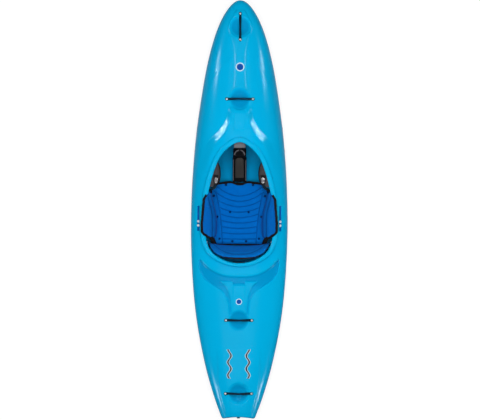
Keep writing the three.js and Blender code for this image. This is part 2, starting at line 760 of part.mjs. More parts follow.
const loopTabBolts = (name) => loopBolts.filter((b) => b.name.startsWith(`${name}_loop`));

function hullShell() {
    const drainHole = rod(drain.holeRadius, -overrun * 2, overrun, 16, sternward, drainAt);
  const opened = skin
    .add(toSolid(rimLip()))
    .add(toSolid(rimRiser()))
    .subtract(cavity)
    .subtract(toSolid(cockpitOpening()));
  const holes = [...loopBolts, ...seatBolts, ...braceBolts, ...trackBolts].map(boltHole);
  return cutBy(opened, [drainHole, drainSpotFace(), ...holes]);
}

// Flat seat for the plug's gasket in the hollow of the stern
function drainSpotFace() {
  return rod(drain.gasketRadius + runGap, -drain.spotDepth, overrun, 20, sternward, drainAt);
}

// Grab loop: a flat band bolted at both ends and arched over its recess
function grabLoop(name, y) {
  const along = name === "bow";
  const body = sheetBody(16, 1, (u, v) => {
    const reach = (loop.span / 2 + loop.tab) * (2 * u - 1);
    const share = clamp01(Math.abs(reach) / (loop.span / 2 - loop.tab));
    const endShare = clamp01((Math.abs(reach) - loop.span / 2) / loop.tab);
    const half = (loop.width / 2) * Math.sqrt(1 - endShare ** 2 * 0.6) * mix(0.8, 1, share);
    const off = half * (2 * v - 1);
    const [x, at] = along ? [off, y + reach] : [reach, y + off];
    const arch = loop.lift * (1 - smoothStep(share ** 1.3));
    const low = deckHeight(x, at) + arch - (share < 1 ? 0 : loop.thickness / 2);
    return [new THREE.Vector3(x, at, low), new THREE.Vector3(x, at, deckHeight(x, at) + arch + loop.thickness)];
  });
  const cutters = loopTabBolts(name).flatMap((b) => [boltHole(b), headRoom(b)]);
  return outsideShell(cutBy(toSolid(body), cutters), upward);
}

// Seat: half width and height of the pan's top at a place along it
const seatShare = (y) => (seat.front - y) / (seat.front - seat.rear);

function panTop(x, y) {
  const across = Math.abs(x) / seat.halfWidth;
  const nose = clamp01((y - seat.front + seat.noseLength) / seat.noseLength);
  return seat.height + seat.sideRise * across ** 2 + seat.noseRise * nose ** 2 * (1 - across ** 2);
}

function seatPan() {
  const body = sheetBody(10, 14, (u, v) => {
    const y = mix(seat.front, seat.rear, u);
    const x = seat.halfWidth * curveThrough(panFlareShares, seatShare(y)) * (2 * v - 1);
    const top = panTop(x, y);
    const skirt = u === 0 || u === 1 || v === 0 || v === 1;
    const low = skirt ? floorHeight(x, y) + hull.wall / 2 : top - seat.wall;
    return [new THREE.Vector3(x, y, Math.min(low, top - seat.wall)), new THREE.Vector3(x, y, top)];
  });
  return insideShell(body);
}

function seatPad() {
  return sheetBody(seat.channels * 4 + 4, 10, (u, v) => {
    const w = 2 * v - 1;
    const y0 = mix(seat.front - seat.padInset, seat.padRear, u);
    const x = seat.padHalf * curveThrough(padFlareShares, seatShare(y0)) * w;
    const y = y0 - seat.channelBow * (1 - w ** 2) * Math.sin(Math.PI * u) ** 2 - (u === 0 ? seat.padInset * (1 - w ** 2) : 0);
    const edge = Math.min(1, 6 * Math.min(u, 1 - u) + 0.25) * Math.sqrt(1 - w ** 10 * 0.75);
    const grooved = u > 0.08 && u < 0.97 && Math.abs(w) < 0.8;
    const wave = grooved ? (1 - Math.cos(2 * Math.PI * seat.channels * (u - 0.08))) / 2 : 0.5;
    const low = panTop(x, y) + seatGap * 6;
    const top = low + seat.padThickness * edge - seat.channelDepth * (1 - wave) ** 2;
    return [new THREE.Vector3(x, y, low), new THREE.Vector3(x, y, top)];
  });
}

// Seat bracket: an upright web beside the hip pad and a flange under the deck's pocket

function seatBracket(side) {
  const flange = [
    [webInner, flangeTop - bracket.thickness],
    [bracket.flangeOuter, flangeTop - bracket.thickness],
    [bracket.flangeOuter, flangeTop],
    [webInner, flangeTop],
  ];
  const web = [
    [bracket.front, flangeTop],
    [bracket.front, flangeTop - hipPad.shoulder],
    [bracket.front - hipPad.lap, bracket.bottom],
    [bracket.rear + hipPad.lap, bracket.bottom],
    [bracket.rear, bracket.bottom + hipPad.lap],
    [bracket.rear, band.pivotZ + band.tabHalf * 2],
    [bracket.rear + hipPad.lap, flangeTop],
  ];
  const turnUp = (geometry) => geometry.rotateX(Math.PI / 2);
  const top = turnUp(extruded(flange, pocket.length * 0.8)).translate(0, pocket.front, 0);
  const plate = extruded(web, bracket.thickness).rotateX(Math.PI / 2).rotateZ(Math.PI / 2).translate(webInner, 0, 0);
  const body = joined([top, plate]);
  const cutters = [...seatBolts, ...pivotBolts].filter((b) => b.at.x > 0).map(boltHole);
  const right = cutBy(body, cutters).intersect(cavity.translate(0, 0, -seatGap));
  return side > 0 ? right : mirrored(right);
}

// Hip pad: a thick side block whose top laps out over the rim
function hipPadBody(side) {
  const stations = 9;
  const rings = [];
  for (let i = 0; i <= stations; i++) {
    const u = i / stations;
    const y = mix(hipPad.front, hipPad.rear, u);
    const top = rimTopAt(y) + seatGap * 3;
    const ends = Math.min(u, 1 - u) * stations;
    const corner = clamp01(Math.min(hipPad.front - y, y - hipPad.rear) / hipPad.cornerLength);
    const round = ends < 1 ? 0.88 : 1;
    const low = webInner - seatGap - (ends < 1 ? hipPad.cut * (1 - ends) : 0);
    const outer = Math.min(low, rimInnerAt(y) - runGap);
    const lapOut = outer + hipPad.lap * corner + seatGap;
    const narrow = curveThrough(hipPadNarrowShares, u) * hipPad.narrow;
    const inner = mix(outer, hipPad.inner + narrow, round);
    const footInner = hipPad.footInner + narrow * hipPad.footNarrow;
    const points = [
      [footInner, hipPad.bottom],
      [low, hipPad.bottom],
      [low, flangeTop - hipPad.lapThickness * 2],
      [outer, flangeTop - hipPad.lapThickness],
      [outer, top],
      [lapOut, top],
      [lapOut + seatGap, top + hipPad.lapThickness / 2],
      [lapOut - hipPad.lapThickness / 2, top + hipPad.lapThickness],
      [mix(outer, inner, 0.35), top + hipPad.crown * round],
      [mix(outer, inner, 0.75), top - hipPad.lapThickness],
      [mix(outer, inner, 0.95), top - hipPad.shoulder],
      [inner, mix(hipPad.bottom, top, 0.45)],
      [mix(footInner, inner, 0.4), mix(hipPad.bottom, top, 0.18)],
    ];
    rings.push(points.map(([x, z]) => new THREE.Vector3(side * x, y, z)));
  }
  const centre = (y, narrow) =>
    new THREE.Vector3(side * mix(hipPad.inner + narrow, webInner, 0.6), y, (hipPad.bottom + rimTopAt(y)) / 2);
  const block = loftBody(rings, centre(hipPad.front, hipPad.narrow), centre(hipPad.rear, 0));
  return toSolid(block).subtract(toSolid(rimLip()).translate(0, 0, seatGap));
}

// Half width of the rim's inner edge at a place along the boat
function rimInnerAt(y) {
  let [ahead, behind] = [0, 0.5];
  for (let i = 0; i < 24; i++) {
    const middle = (ahead + behind) / 2;
    if (rimPoint(middle, lipWidth(middle)).y > y) ahead = middle;
    else behind = middle;
  }
  return rimPoint(ahead, lipWidth(ahead)).x;
}

// Height of the rim's top at a place along the boat
function rimTopAt(y) {
  const along = clamp01((rim.front - y) / rim.length);
  return rimTop(Math.acos(1 - 2 * along) / (2 * Math.PI));
}

// Back band: centre line in plan, leaning aft with height
function bandLine(x, z) {
  const across = clamp01(Math.abs(x) / band.halfWidth);
  const back = band.ends - band.depth * Math.sqrt(1 - across ** 2);
  return back - (z - band.pivotZ) * band.lean * (1 - across ** 5);
}

function bandSheet(half, bottom, top, crownPower, across, depthAt) {
  return sheetBody(16, across, (u, v) => {
    const x = half * Math.sin((Math.PI / 2) * (2 * u - 1));
    const crown = 1 - (x / half) ** crownPower;
    const z = mix(bottom, mix(band.pivotZ + band.tabHalf, top, crown), v);
    const [front, back] = depthAt(x, z, u, v);
    return [new THREE.Vector3(x, front, z), new THREE.Vector3(x, back, z)];
  });
}

function bandCore() {
  const bottom = band.pivotZ - band.tabHalf;
  const sheet = bandSheet(band.halfWidth - band.thickness / 2, bottom, band.top - band.thickness, 4, 2, (x, z) => {
    const y = bandLine(x, z);
    return [y + band.thickness / 2, y - band.thickness / 2];
  });
  const tab = (side) =>
    new THREE.BoxGeometry(band.thickness, band.tabReach * 2, band.tabHalf * 2).translate(
      side * (band.halfWidth - band.thickness / 2),
      band.ends - band.thickness,
      band.pivotZ,
    );
  return cutBy(joined([sheet, tab(1), tab(-1)]), pivotBolts.map(boltHole));
}

function bandPad() {
  return bandSheet(band.padHalf, band.bottom, band.top, 8, 4, (x, z, u, v) => {
    const back = bandLine(x, z) + band.thickness / 2 + band.padGap;
    const round = Math.sqrt(1 - (2 * v - 1) ** 4 * 0.8) * Math.sqrt(1 - (2 * u - 1) ** 8 * 0.7);
    return [back + band.padThickness * round, back];
  });
}

// Webbing strap from the ratchet to the band's end: flat at the ratchet, on edge outside the seat bracket
function bandStrap(side) {
  const outside = webInner + bracket.thickness + runGap + strap.thickness / 2;
  const low = band.pivotZ + strap.halfHeight * 2.2;
  const high = ratchetZ + seatGap + ratchet.height / 2;
  const route = new THREE.CatmullRomCurve3(
    [
      [ratchet.x, ratchet.front - ratchet.length - seatGap, high],
      [ratchet.x, ratchet.front - ratchet.length - strap.halfHeight, high],
      [mix(ratchet.x, outside, 0.2), mix(bracket.front, brace.rear, 0.88), mix(low, high, 0.93)],
      [mix(ratchet.x, outside, 0.75), mix(bracket.front, brace.rear, 0.55), mix(low, high, 0.55)],
      [outside + runGap, bracket.front + runGap * 4, mix(low, high, 0.3)],
      [outside, 0, mix(low, high, 0.1)],
      [outside, seatBoltPlaces[1], low],
      [outside + runGap, bracket.rear + strap.halfHeight, low],
      [outside + runGap, bracket.rear - runGap * 3, low],
      [band.halfWidth - strap.thickness / 2, bracket.rear - strap.halfHeight * 1.4, low],
    ].map(([x, y, z]) => new THREE.Vector3(x, y, z)),
  );
  return sheetBody(20, 1, (u, v) => {
    const at = route.getPointAt(u);
    const run = route.getTangentAt(u);
    const across = new THREE.Vector3(run.y, -run.x, 0).normalize();
    const turn = (Math.PI / 2) * smoothStep(u * 4);
    const half = (v - 0.5) * 2 * strap.halfHeight;
    const wide = across.clone().multiplyScalar(Math.cos(turn)).add(new THREE.Vector3(0, 0, Math.sin(turn)));
    const thick = new THREE.Vector3().crossVectors(run, wide).normalize();
    const points = [1, -1].map((way) =>
      at.clone().addScaledVector(wide, half).addScaledVector(thick, (way * strap.thickness) / 2),
    );
    points.forEach((p) => (p.x *= side));
    return points;
  });
}

// Thigh brace: a flange under the deck beside the rim, hooking down into the cockpit
function braceOuter(y) {
  const along = clamp01((rim.front - y) / rim.length);
  return rimOuter(Math.acos(1 - 2 * along) / (2 * Math.PI)).x + brace.flange;
}

function braceBoltX() {
  return braceOuter(brace.boltY) - brace.flange * 2;
}

function braceTop(x, y) {
  const outer = braceOuter(y);
  const hook = clamp01((outer - brace.flange * 3 - x) / (outer - brace.flange * 3 - brace.inner));
  return deckHeight(Math.max(x, brace.inner), y) - hull.wall - brace.hook * hook ** 2.2;
}

function braceSheet(side, inset, low, high) {
  const body = sheetBody(8, 6, (u, v) => {
    const y = mix(brace.front - inset, brace.rear + inset, u);
    const pinch = 1 - Math.sqrt(1 - (2 * u - 1) ** 4 * 0.85);
    const outer = braceOuter(y) - inset * 3 * (inset ? 1 : 0);
    const x = mix(mix(brace.inner + inset, outer, pinch * 0.4), outer, v);
    const top = braceTop(x, y);
    return [new THREE.Vector3(x, y, top + low), new THREE.Vector3(x, y, top + high)];
  });
  return insideShell(body);
}

function bracePlate() {
  return braceSheet(1, 0, -brace.thickness, 0);
}

function thighBrace(side) {
  const plate = bracePlate().add(toSolid(ratchetSeat(0)));
  const right = cutBy(plate, braceBolts.filter((b) => b.at.x > 0).map(boltHole));
  return side > 0 ? right : mirrored(right);
}

// Level boss on the brace that carries the ratchet
const ratchetZ =
  Math.max(
    ...[-1, 1].flatMap((a) =>
      [ratchet.front, ratchet.front - ratchet.length].map((y) => braceTop(ratchet.x + a * ratchet.halfWidth, y)),
    ),
  ) + runGap;

function ratchetSeat(grow) {
  const low = brace.hook * 0.6 + grow;
  return new THREE.BoxGeometry(2 * (ratchet.halfWidth + grow), ratchet.length + 2 * grow, low).translate(
    ratchet.x,
    ratchet.front - ratchet.length / 2,
    ratchetZ - low / 2,
  );
}

function thighPad(side) {
  const high = -brace.thickness - seatGap * 8;
  const pad = braceSheet(1, brace.padInset, high - brace.padThickness, high);
  const nutRoom = braceBolts
    .filter((b) => b.at.x > 0)
    .map((b) => rod(b.size.nutRadius + runGap, -b.grip - overrun * 2, 0, boltSides, b.way, b.at));
  const right = cutBy(pad, [ratchetSeat(seatGap), ...nutRoom]);
  return side > 0 ? right : mirrored(right);
}

// Ratchet: a base with two cheeks and an axle, and a lever that lifts on the axle
const axleAt = new THREE.Vector3(
  ratchet.x,
  ratchet.front - ratchet.cheekHeight / 2,
  ratchetZ + ratchet.height + ratchet.axleRadius + ratchet.leverThickness + runGap * 1.5,
);

function ratchetBase(side) {
  const plate = new THREE.BoxGeometry(ratchet.halfWidth * 2, ratchet.length, ratchet.height).translate(
    ratchet.x,
    ratchet.front - ratchet.length / 2,
    ratchetZ + seatGap + ratchet.height / 2,
  );
  const cheek = (way) => {
    const outline = [
      [ratchet.front, 0],
      [ratchet.front, ratchet.cheekHeight * 0.7],
      [ratchet.front - ratchet.cheekHeight * 0.3, ratchet.cheekHeight],
      [ratchet.front - ratchet.cheekHeight * 0.8, ratchet.cheekHeight],
      [ratchet.front - ratchet.length * 0.6, ratchet.height],
      [ratchet.front - ratchet.length * 0.6, 0],
    ];
    const inner = way > 0 ? ratchet.halfWidth - ratchet.cheek : -ratchet.halfWidth;
    return extruded(outline, ratchet.cheek)
      .rotateX(Math.PI / 2)
      .rotateZ(Math.PI / 2)
      .translate(ratchet.x + inner, 0, ratchetZ + seatGap);
  };
  const axle = rod(ratchet.axleRadius, -ratchet.halfWidth, ratchet.halfWidth, 16, new THREE.Vector3(1, 0, 0), axleAt);
  const right = joined([plate, cheek(1), cheek(-1), axle]);
  return side > 0 ? right : mirrored(right);
}

function ratchetLever(side) {
  const half = ratchet.halfWidth - ratchet.cheek - runGap;
  const eye = ratchet.axleRadius + ratchet.leverThickness;
  const rows = [
    [eye * 0.6, -eye * 0.8],
    [eye, 0],
    [eye * 0.6, eye * 0.8],
    [0, eye],
    [-ratchet.leverLength * 0.4, eye * 0.75],
    [-ratchet.leverLength * 0.93, eye * 0.35],
    [-ratchet.leverLength, 0],
    [-ratchet.leverLength * 0.96, -ratchet.leverThickness],
    [-ratchet.leverLength * 0.4, -ratchet.leverThickness * 0.4],
    [-eye, -ratchet.leverThickness],
    [-eye * 0.5, -eye * 0.8],
  ];
  const lever = extruded(rows, half * 2).rotateX(Math.PI / 2).rotateZ(Math.PI / 2).translate(axleAt.x - half, axleAt.y, axleAt.z);
  const bore = rod(ratchet.axleRadius + seatGap, -overrun, overrun, 16, new THREE.Vector3(1, 0, 0), axleAt);
  const right = cutBy(toSolid(lever), [bore]);
  return side > 0 ? right : mirrored(right);
}

// Console: a moulded hump from the seat's nose to the pillar, with side rails and a padded slab
function consoleTop(y) {
  const u = (consoleSize.front - y) / (consoleSize.front - consoleSize.rear);
  return mix(consoleSize.frontHeight, consoleSize.rearHeight, smoothStep(u) * 0.4 + u * 0.6);
}

function centreConsole() {
  const shares = [-1, -1, -0.9, -0.82, -0.8, 0.8, 0.82, 0.9, 1, 1];
  const body = sheetBody(8, shares.length - 1, (u, v) => {
    const i = Math.round(v * (shares.length - 1));
    const y = mix(consoleSize.front, consoleSize.rear, u);
    const flare = i === 0 || i === shares.length - 1 ? runGap : 0;
    const x = (consoleSize.half - flare) * shares[i];
    const onRail = Math.abs(shares[i]) > 0.81;
    const edge = i === 0 || i === shares.length - 1;
    const top = consoleTop(y) + (onRail && !edge ? consoleSize.railHeight : 0) - (edge ? consoleSize.railHeight : 0);
    return [new THREE.Vector3(x, y, floorHeight(x, y) + hull.wall / 2), new THREE.Vector3(x, y, top)];
  });
  return insideShell(body);
}

function consolePad() {
  return sheetBody(8, 4, (u, v) => {
    const y = mix(slab.front, slab.rear, u);
    const w = 2 * v - 1;
    const nose = Math.sqrt(1 - clamp01(1 - u * 5) ** 2 * 0.8);
    const x = slab.half * w * nose;
    const low = consoleTop(y) + seatGap * 2;
    return [new THREE.Vector3(x, y, low), new THREE.Vector3(x, y, low + slab.thickness * (1 - 0.35 * w ** 4))];
  });
}

function pillar(front, rear, half) {
  const body = sheetBody(8, 2, (u, v) => {
    const y = mix(front, rear, u);
    const x = half * (2 * v - 1) * (u === 0 || u === 1 ? 0.94 : 1);
    return [new THREE.Vector3(x, y, floorHeight(x, y) + hull.wall / 2), new THREE.Vector3(x, y, deckHeight(x, y))];
  });
  return insideShell(body);
}

function frontPillarBody() {
  const low = deckHeight(0, rim.front - rim.lip) - hull.wall * 2;
  const ledge = new THREE.BoxGeometry(hull.beam, pillarBracket.top, hull.depth).translate(
    0,
    rim.front - rim.lip - runGap - pillarBracket.top / 2,
    low + hull.depth / 2,
  );
  return cutBy(pillar(frontPillar.front, frontPillar.rear, frontPillar.half), [ledge]);
}

// Bracket that clips the front pillar to the console, with a gear eyelet on top
function pillarBracketBody() {
  const { front, rear, half, top, archRadius, eyeRadius, eyeTube } = pillarBracket;
  const deep = front - rear;
  const outline = [
    [-half, 0],
    [half, 0],
    [half, top - archRadius],
    [half * 0.7, top - archRadius * 0.3],
    [0, top],
    [-half * 0.7, top - archRadius * 0.3],
    [-half, top - archRadius],
  ];
  const block = extruded(outline, deep).rotateX(Math.PI / 2).translate(0, front, 0);
  const hollow = rod(half * 0.72, -overrun, deep * 0.55, 20, new THREE.Vector3(0, 1, 0), new THREE.Vector3(0, rear, top - half));
  const eye = new THREE.TorusGeometry(eyeRadius, eyeTube, 6, 14).rotateY(Math.PI / 2).translate(0, front - deep / 2, top + eyeTube);
  return joined([block]).subtract(toSolid(hollow)).add(toSolid(eye)).intersect(cavity.translate(0, 0, seatGap));
}

// Foot brace: a plate with a foam face, carried by two arms that slide along the tracks
function footOutline(inset) {
  const steps = 6;
  const y = foot.y + foot.travel + foot.thickness * 3;
  const right = [];
  for (let i = 0; i <= steps; i++) {
    const z = mix(foot.bottom + inset, foot.top - inset, i / steps);
    const room = insideHalf(y, z) - foot.clearance - inset;
    right.push([Math.min(room, insideHalf(y, track.z) - foot.clearance - inset), z]);
  }
  return [...right, ...right.map(([x, z]) => [-x, z]).reverse()];
}

const footPlate = (inset, thickness, y) => extruded(footOutline(inset), thickness).rotateX(Math.PI / 2).translate(0, y, 0);
const footBulkhead = () => footPlate(0, foot.thickness, foot.y + foot.thickness);
const footPad = () => footPlate(foot.padInset, foot.padThickness, foot.y - seatGap);

function footArm(side) {
  const outer = track.inner - seatGap;
  const inner = outer - foot.armThickness;
  const end = foot.y - seatGap;
  const outline = [
    [inner, foot.armRear],
    [outer, foot.armRear],
    [outer, foot.armBend],
    [foot.armEnd + foot.armThickness, end - foot.armThickness],
    [foot.armEnd + foot.armThickness, end],
    [foot.armEnd - foot.slotHalf / 2, end],
    [foot.armEnd - foot.slotHalf / 2, end - foot.armThickness],
    [foot.armEnd - foot.armThickness, end - foot.armThickness],
    [inner, foot.armBend - foot.armThickness],
  ];
  const right = toSolid(extruded(outline, foot.armHeight).translate(0, 0, track.z - foot.armHeight / 2));
  return side > 0 ? right : mirrored(right);
}

function footTrack(side) {
  const half = track.height / 2;
  const rail = new THREE.BoxGeometry(track.thickness, track.front - track.rear, track.height).translate(
    track.inner + track.thickness / 2,
    (track.front + track.rear) / 2,
    track.z,
  );
  const reach = hull.beam / 2 - track.inner;
  const feet = trackBoltPlaces.map((y) =>
    new THREE.BoxGeometry(reach, track.footHalf * 2, track.height).translate(track.inner + reach / 2, y, track.z),
  );
  const lip = new THREE.BoxGeometry(foot.armThickness + runGap * 3, track.front - track.rear, track.thickness / 3).translate(
    track.inner - (foot.armThickness + runGap * 3) / 2 + runGap,
    (track.front + track.rear) / 2,
    track.z - foot.armHeight / 2 - seatGap - track.thickness / 6,
  );
  const body = joined([rail, ...feet, lip]).intersect(cavity.translate(-seatGap, 0, 0));
  const right = cutBy(body, trackBolts.filter((b) => b.at.x > 0).map(boltHole));
  return side > 0 ? right : mirrored(right);
}

// Drain plug with its grip bar, and the gasket under its head
function drainPlug() {
  const head = drain.gasketThickness + seatGap * 2;
  const rows = [
    [0, -drain.shankLength],
    [drain.holeRadius * 0.85, -drain.shankLength],
    [drain.holeRadius - seatGap * 2, -drain.shankLength + drain.thread],
    [drain.holeRadius - seatGap * 2, head],
    [drain.headRadius, head],
    [drain.headRadius, head + drain.headLength * 0.45],
    [drain.headRadius * 0.9, head + drain.headLength * 0.55],
    [0, head + drain.headLength * 0.55],
  ];
  const base = drainAt.clone().addScaledVector(sternward, -drain.spotDepth);
  const grip = new THREE.BoxGeometry(drain.headRadius * 1.7, drain.headLength * 0.6, drain.gripWidth).translate(
    base.x,
    base.y - head - drain.headLength * 0.7,
    base.z,
  );
  return joined([turned(rows, 16, sternward, base), grip]);
}

function plugGasket() {
  const { gasketRadius, holeRadius, gasketThickness } = drain;
  const base = drainAt.clone().addScaledVector(sternward, -drain.spotDepth + seatGap);
  const rows = [
    [holeRadius + seatGap, 0],
    [gasketRadius, 0],
    [gasketRadius, gasketThickness],
    [holeRadius + seatGap, gasketThickness],
    [holeRadius + seatGap, 0],
  ];
  return turned(rows, 16, sternward, base);
}

// Assembly
const seatPanSolid = seatPan();
place("hull_shell", hullShell(), "shell");
Object.entries(loopPlaces).forEach(([name, y]) => place(`${name}_grab_loop`, grabLoop(name, y), "webbing"));
place("seat_pan", seatPanSolid, "blackPlastic");
place("seat_pad", seatPad(), "seatFoam");
place("back_band_core", bandCore(), "blackPlastic");
place("back_band_pad", bandPad(), "bandFabric");
place("center_console", centreConsole(), "greyPlastic");
place("console_pad", consolePad(), "blackFoam");
place("pillar_bracket", pillarBracketBody(), "blackPlastic");
place("front_pillar", frontPillarBody(), "greyFoam");
place("rear_pillar", pillar(rearPillar.front, rearPillar.rear, rearPillar.half), "blackFoam");
place("foot_bulkhead", footBulkhead(), "aluminium");
place("foot_pad", footPad(), "blackFoam");
bothSides((name, side) => {
  place(`${name}_seat_bracket`, seatBracket(side), "aluminium");
  place(`${name}_hip_pad`, hipPadBody(side), "seatFoam");
  place(`${name}_band_strap`, bandStrap(side), "webbing");
  place(`${name}_thigh_brace`, thighBrace(side), "greyPlastic");
  place(`${name}_thigh_pad`, thighPad(side), "blackFoam");
  place(`${name}_ratchet_base`, ratchetBase(side), "blackPlastic");
  place(`${name}_ratchet_lever`, ratchetLever(side), "aluminium");
  place(`${name}_foot_arm`, footArm(side), "aluminium");
  place(`${name}_foot_track`, footTrack(side), "aluminium");
});
[...loopBolts, ...seatBolts, ...braceBolts, ...trackBolts, ...pivotBolts].forEach((b) =>
  place(b.name, boltBody(b), "steel"),
);
place("drain_plug", drainPlug(), "blackPlastic");
place("plug_gasket", plugGasket(), "rubber");

export default group;
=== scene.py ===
import math

import bpy
import numpy as np
from mathutils import Matrix, Vector


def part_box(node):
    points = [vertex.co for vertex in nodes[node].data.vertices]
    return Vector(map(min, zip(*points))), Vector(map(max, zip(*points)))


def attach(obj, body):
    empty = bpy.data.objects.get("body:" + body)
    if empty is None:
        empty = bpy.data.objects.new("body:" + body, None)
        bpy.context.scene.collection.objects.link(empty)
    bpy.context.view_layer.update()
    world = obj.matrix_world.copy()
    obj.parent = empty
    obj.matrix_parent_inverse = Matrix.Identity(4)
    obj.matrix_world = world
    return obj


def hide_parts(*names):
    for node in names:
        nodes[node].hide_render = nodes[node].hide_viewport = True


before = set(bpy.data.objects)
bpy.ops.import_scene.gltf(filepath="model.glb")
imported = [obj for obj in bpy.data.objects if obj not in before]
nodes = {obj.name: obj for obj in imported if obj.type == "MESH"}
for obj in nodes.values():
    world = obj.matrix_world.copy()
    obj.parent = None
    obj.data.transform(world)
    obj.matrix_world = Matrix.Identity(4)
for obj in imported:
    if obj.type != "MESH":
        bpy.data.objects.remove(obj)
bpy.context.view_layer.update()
print("frame loaded with", len(nodes), "nodes")


def pick(*pieces):
    for other in list(bpy.context.selected_objects):
        other.select_set(False)
    for piece in pieces:
        piece.select_set(True)
    if pieces:
        bpy.context.view_layer.objects.active = pieces[0]


def clamp01(x):
    return np.clip(x, 0.0, 1.0)


def smoothStep(x):
    t = clamp01(x)
    return t * t * (3 - 2 * t)


def mix(a, b, t):
    return a + (b - a) * t


def curveThrough(rows, x):  # smooth curve through rows of place and value
    at, value = np.array(rows, float).T
    last = len(at) - 1
    ahead = [min(k + 1, last) for k in range(last + 1)]
    behind = [max(k - 1, 0) for k in range(last + 1)]
    slope = (value[ahead] - value[behind]) / (at[ahead] - at[behind])
    x = np.clip(x, at[0], at[last])
    i = np.clip(np.searchsorted(at, x, side="right") - 1, 0, last - 1)
    width = at[i + 1] - at[i]
    t = (x - at[i]) / width
    return (
        (2 * t**3 - 3 * t**2 + 1) * value[i]
        + (t**3 - 2 * t**2 + t) * slope[i] * width
        + (3 * t**2 - 2 * t**3) * value[i + 1]
        + (t**3 - t**2) * slope[i + 1] * width
    )


# shape of the shell, with the same sizes as the frame
hull = {
    "length": 2.745, "beam": 0.638, "depth": 0.33, "wall": 0.007, "section": 2.3,
    "bowRocker": 0.25, "sternRocker": 0.15, "sternHollow": 0.012, "sternRadius": 0.012,
    "noseShare": 0.06, "flat": 0.55, "flatShare": 0.2, "bowShare": 0.38, "sternShare": 0.64, "hollowShare": 0.97,
}
outlineShares = [
    [0, 1.74], [0.05, 1.8], [0.143, 1.738], [0.22, 1.665], [0.335, 1.58], [0.506, 1.406],
    [0.64, 1.22], [0.755, 1.02], [0.87, 0.747], [0.946, 0.524], [1, 0.34],
]
sheerShares = [[0, 0.8], [0.1, 0.72], [0.3, 0.56], [0.5, 0.5], [0.7, 0.5], [0.85, 0.56], [1, 0.64]]
deckShares = [
    [0, 0.98], [0.06, 0.985], [0.15, 1.01], [0.25, 1.025], [0.33, 1], [0.45, 0.9], [0.55, 0.81],
    [0.64, 0.75], [0.7, 0.745], [0.8, 0.77], [0.9, 0.79], [1, 0.78],
]
rim = {
    "front": 0.473, "length": 0.846, "halfWidth": 0.25944, "rise": 0.028, "lip": 0.03331,
    "rearLip": 0.02423, "thickness": 0.006, "roll": 0.005, "fillet": 0.010, "under": 0.004,
    "curl": 0.0018, "edgeDrop": 0.0064, "edgeRound": 0.0045,
}
rimShares = [
    [0, 0.733], [0.06, 0.83], [0.12, 0.873], [0.25, 0.879], [0.41, 0.918], [0.587, 0.985],
    [0.727, 1.1], [0.835, 1.24], [0.92, 1.345], [1, 1.34],
]
dish = {"depth": 0.020, "radius": 0.066, "edge": 0.003, "apron": 0.010}
loopPlaces = {"bow": 1.193, "fore": 0.721, "rear": -0.724, "stern": -1.204}
spine = {"rise": 0.005, "flank": 0.0165, "front": 1.312, "rear": 0.70, "end": 0.02}
spineRows = [  # place along the boat, half width of the raised spine
    [0.700, 0.062], [0.721, 0.066], [0.745, 0.060], [0.770, 0.045], [0.800, 0.031], [0.850, 0.026],
    [0.930, 0.024], [1.000, 0.025], [1.030, 0.027], [1.080, 0.034], [1.125, 0.045], [1.150, 0.058],
    [1.193, 0.068], [1.222, 0.062], [1.255, 0.045], [1.290, 0.027], [1.310, 0.014],
]
collar = {"rise": 0.014, "front": 0.690, "rear": 0.160, "flank": 0.06259, "power": 1.1, "soft": 0.01}
collarHalfShares = [
    [0, 0.22], [0.16, 0.222], [0.235, 0.24], [0.296, 0.285], [0.358, 0.36], [0.457, 0.55],
    [0.547, 0.66], [0.63, 0.735], [0.736, 0.81], [0.84, 0.87], [1, 0.94],
]
collarFlankShares = [[0, 0.4], [0.15, 0.45], [0.3, 0.85], [0.42, 1], [0.6, 0.75], [1, 0.4]]
panel = {"half": 0.0375, "front": 0.6525, "rear": 0.5235, "depth": 0.0022, "groove": 0.0032, "corner": 0.010}
crescent = {
    "front": -0.432, "sweep": 0.115, "depth": 0.010, "half": 0.26045,
    "rear": -0.473, "middleHalf": 0.040, "middleRear": -0.503,
    "frontEdge": 0.018, "rearEdge": 0.007, "middleEdge": 0.026, "sideEdge": 0.006,
}
channel = {"front": -0.480, "rear": -0.700, "depth": 0.007, "step": 0.0016, "edge": 0.008, "fade": 0.02, "ramp": 0.04}
recessOuterRows = [  # place along the boat, half width of the crescent and of the channels that run back from it
    [-0.720, 0.0612], [-0.613, 0.0674], [-0.565, 0.085], [-0.529, 0.115], [-0.512, 0.145],
    [-0.487, 0.181], [-0.458, 0.222], [-0.404, 0.254], [-0.360, 0.262], [-0.300, 0.262],
]
toothRows = [
    [-0.720, 0.050], [-0.6245, 0.0522], [-0.565, 0.0614], [-0.5056, 0.085], [-0.4637, 0.127], [-0.400, 0.150],
]
pocket = {"inner": 0.25944, "outer": 0.2784, "front": 0.028, "rear": -0.142, "wall": 0.004, "level": 0.268}
kneeArch = {"apex": 1.015, "half": 0.235, "reach": 0.260, "rise": 0.0012, "edge": 0.018, "crest": 0.03, "fade": 0.25}
sternPlateau = {"front": -0.885, "rise": 0.0032, "edge": 0.016, "step": 0.035}
sternPlateauShares = [[-1.3725, 0.77], [-1.165, 0.78], [-1.06, 0.68], [-0.93, 0.6], [-0.88, 0.45]]


def shareAt(y):
    return clamp01(0.5 - y / hull["length"])


def halfBeam(s):
    return hull["beam"] / 2 * np.sqrt(s) * curveThrough(outlineShares, s)


def beamShare(x, y):
    return np.abs(x) / np.maximum(halfBeam(shareAt(y)), 1e-9)


def noseRound(s):
    return np.sqrt(1 - (1 - clamp01(s / hull["noseShare"])) ** 2)


def sheerHeight(s):
    return hull["depth"] * curveThrough(sheerShares, s)


def crownHeight(s):
    return (hull["depth"] * curveThrough(deckShares, s) - sheerHeight(s)) * noseRound(s)


def flatHalf(s):
    return hull["flat"] * smoothStep(s / hull["flatShare"])


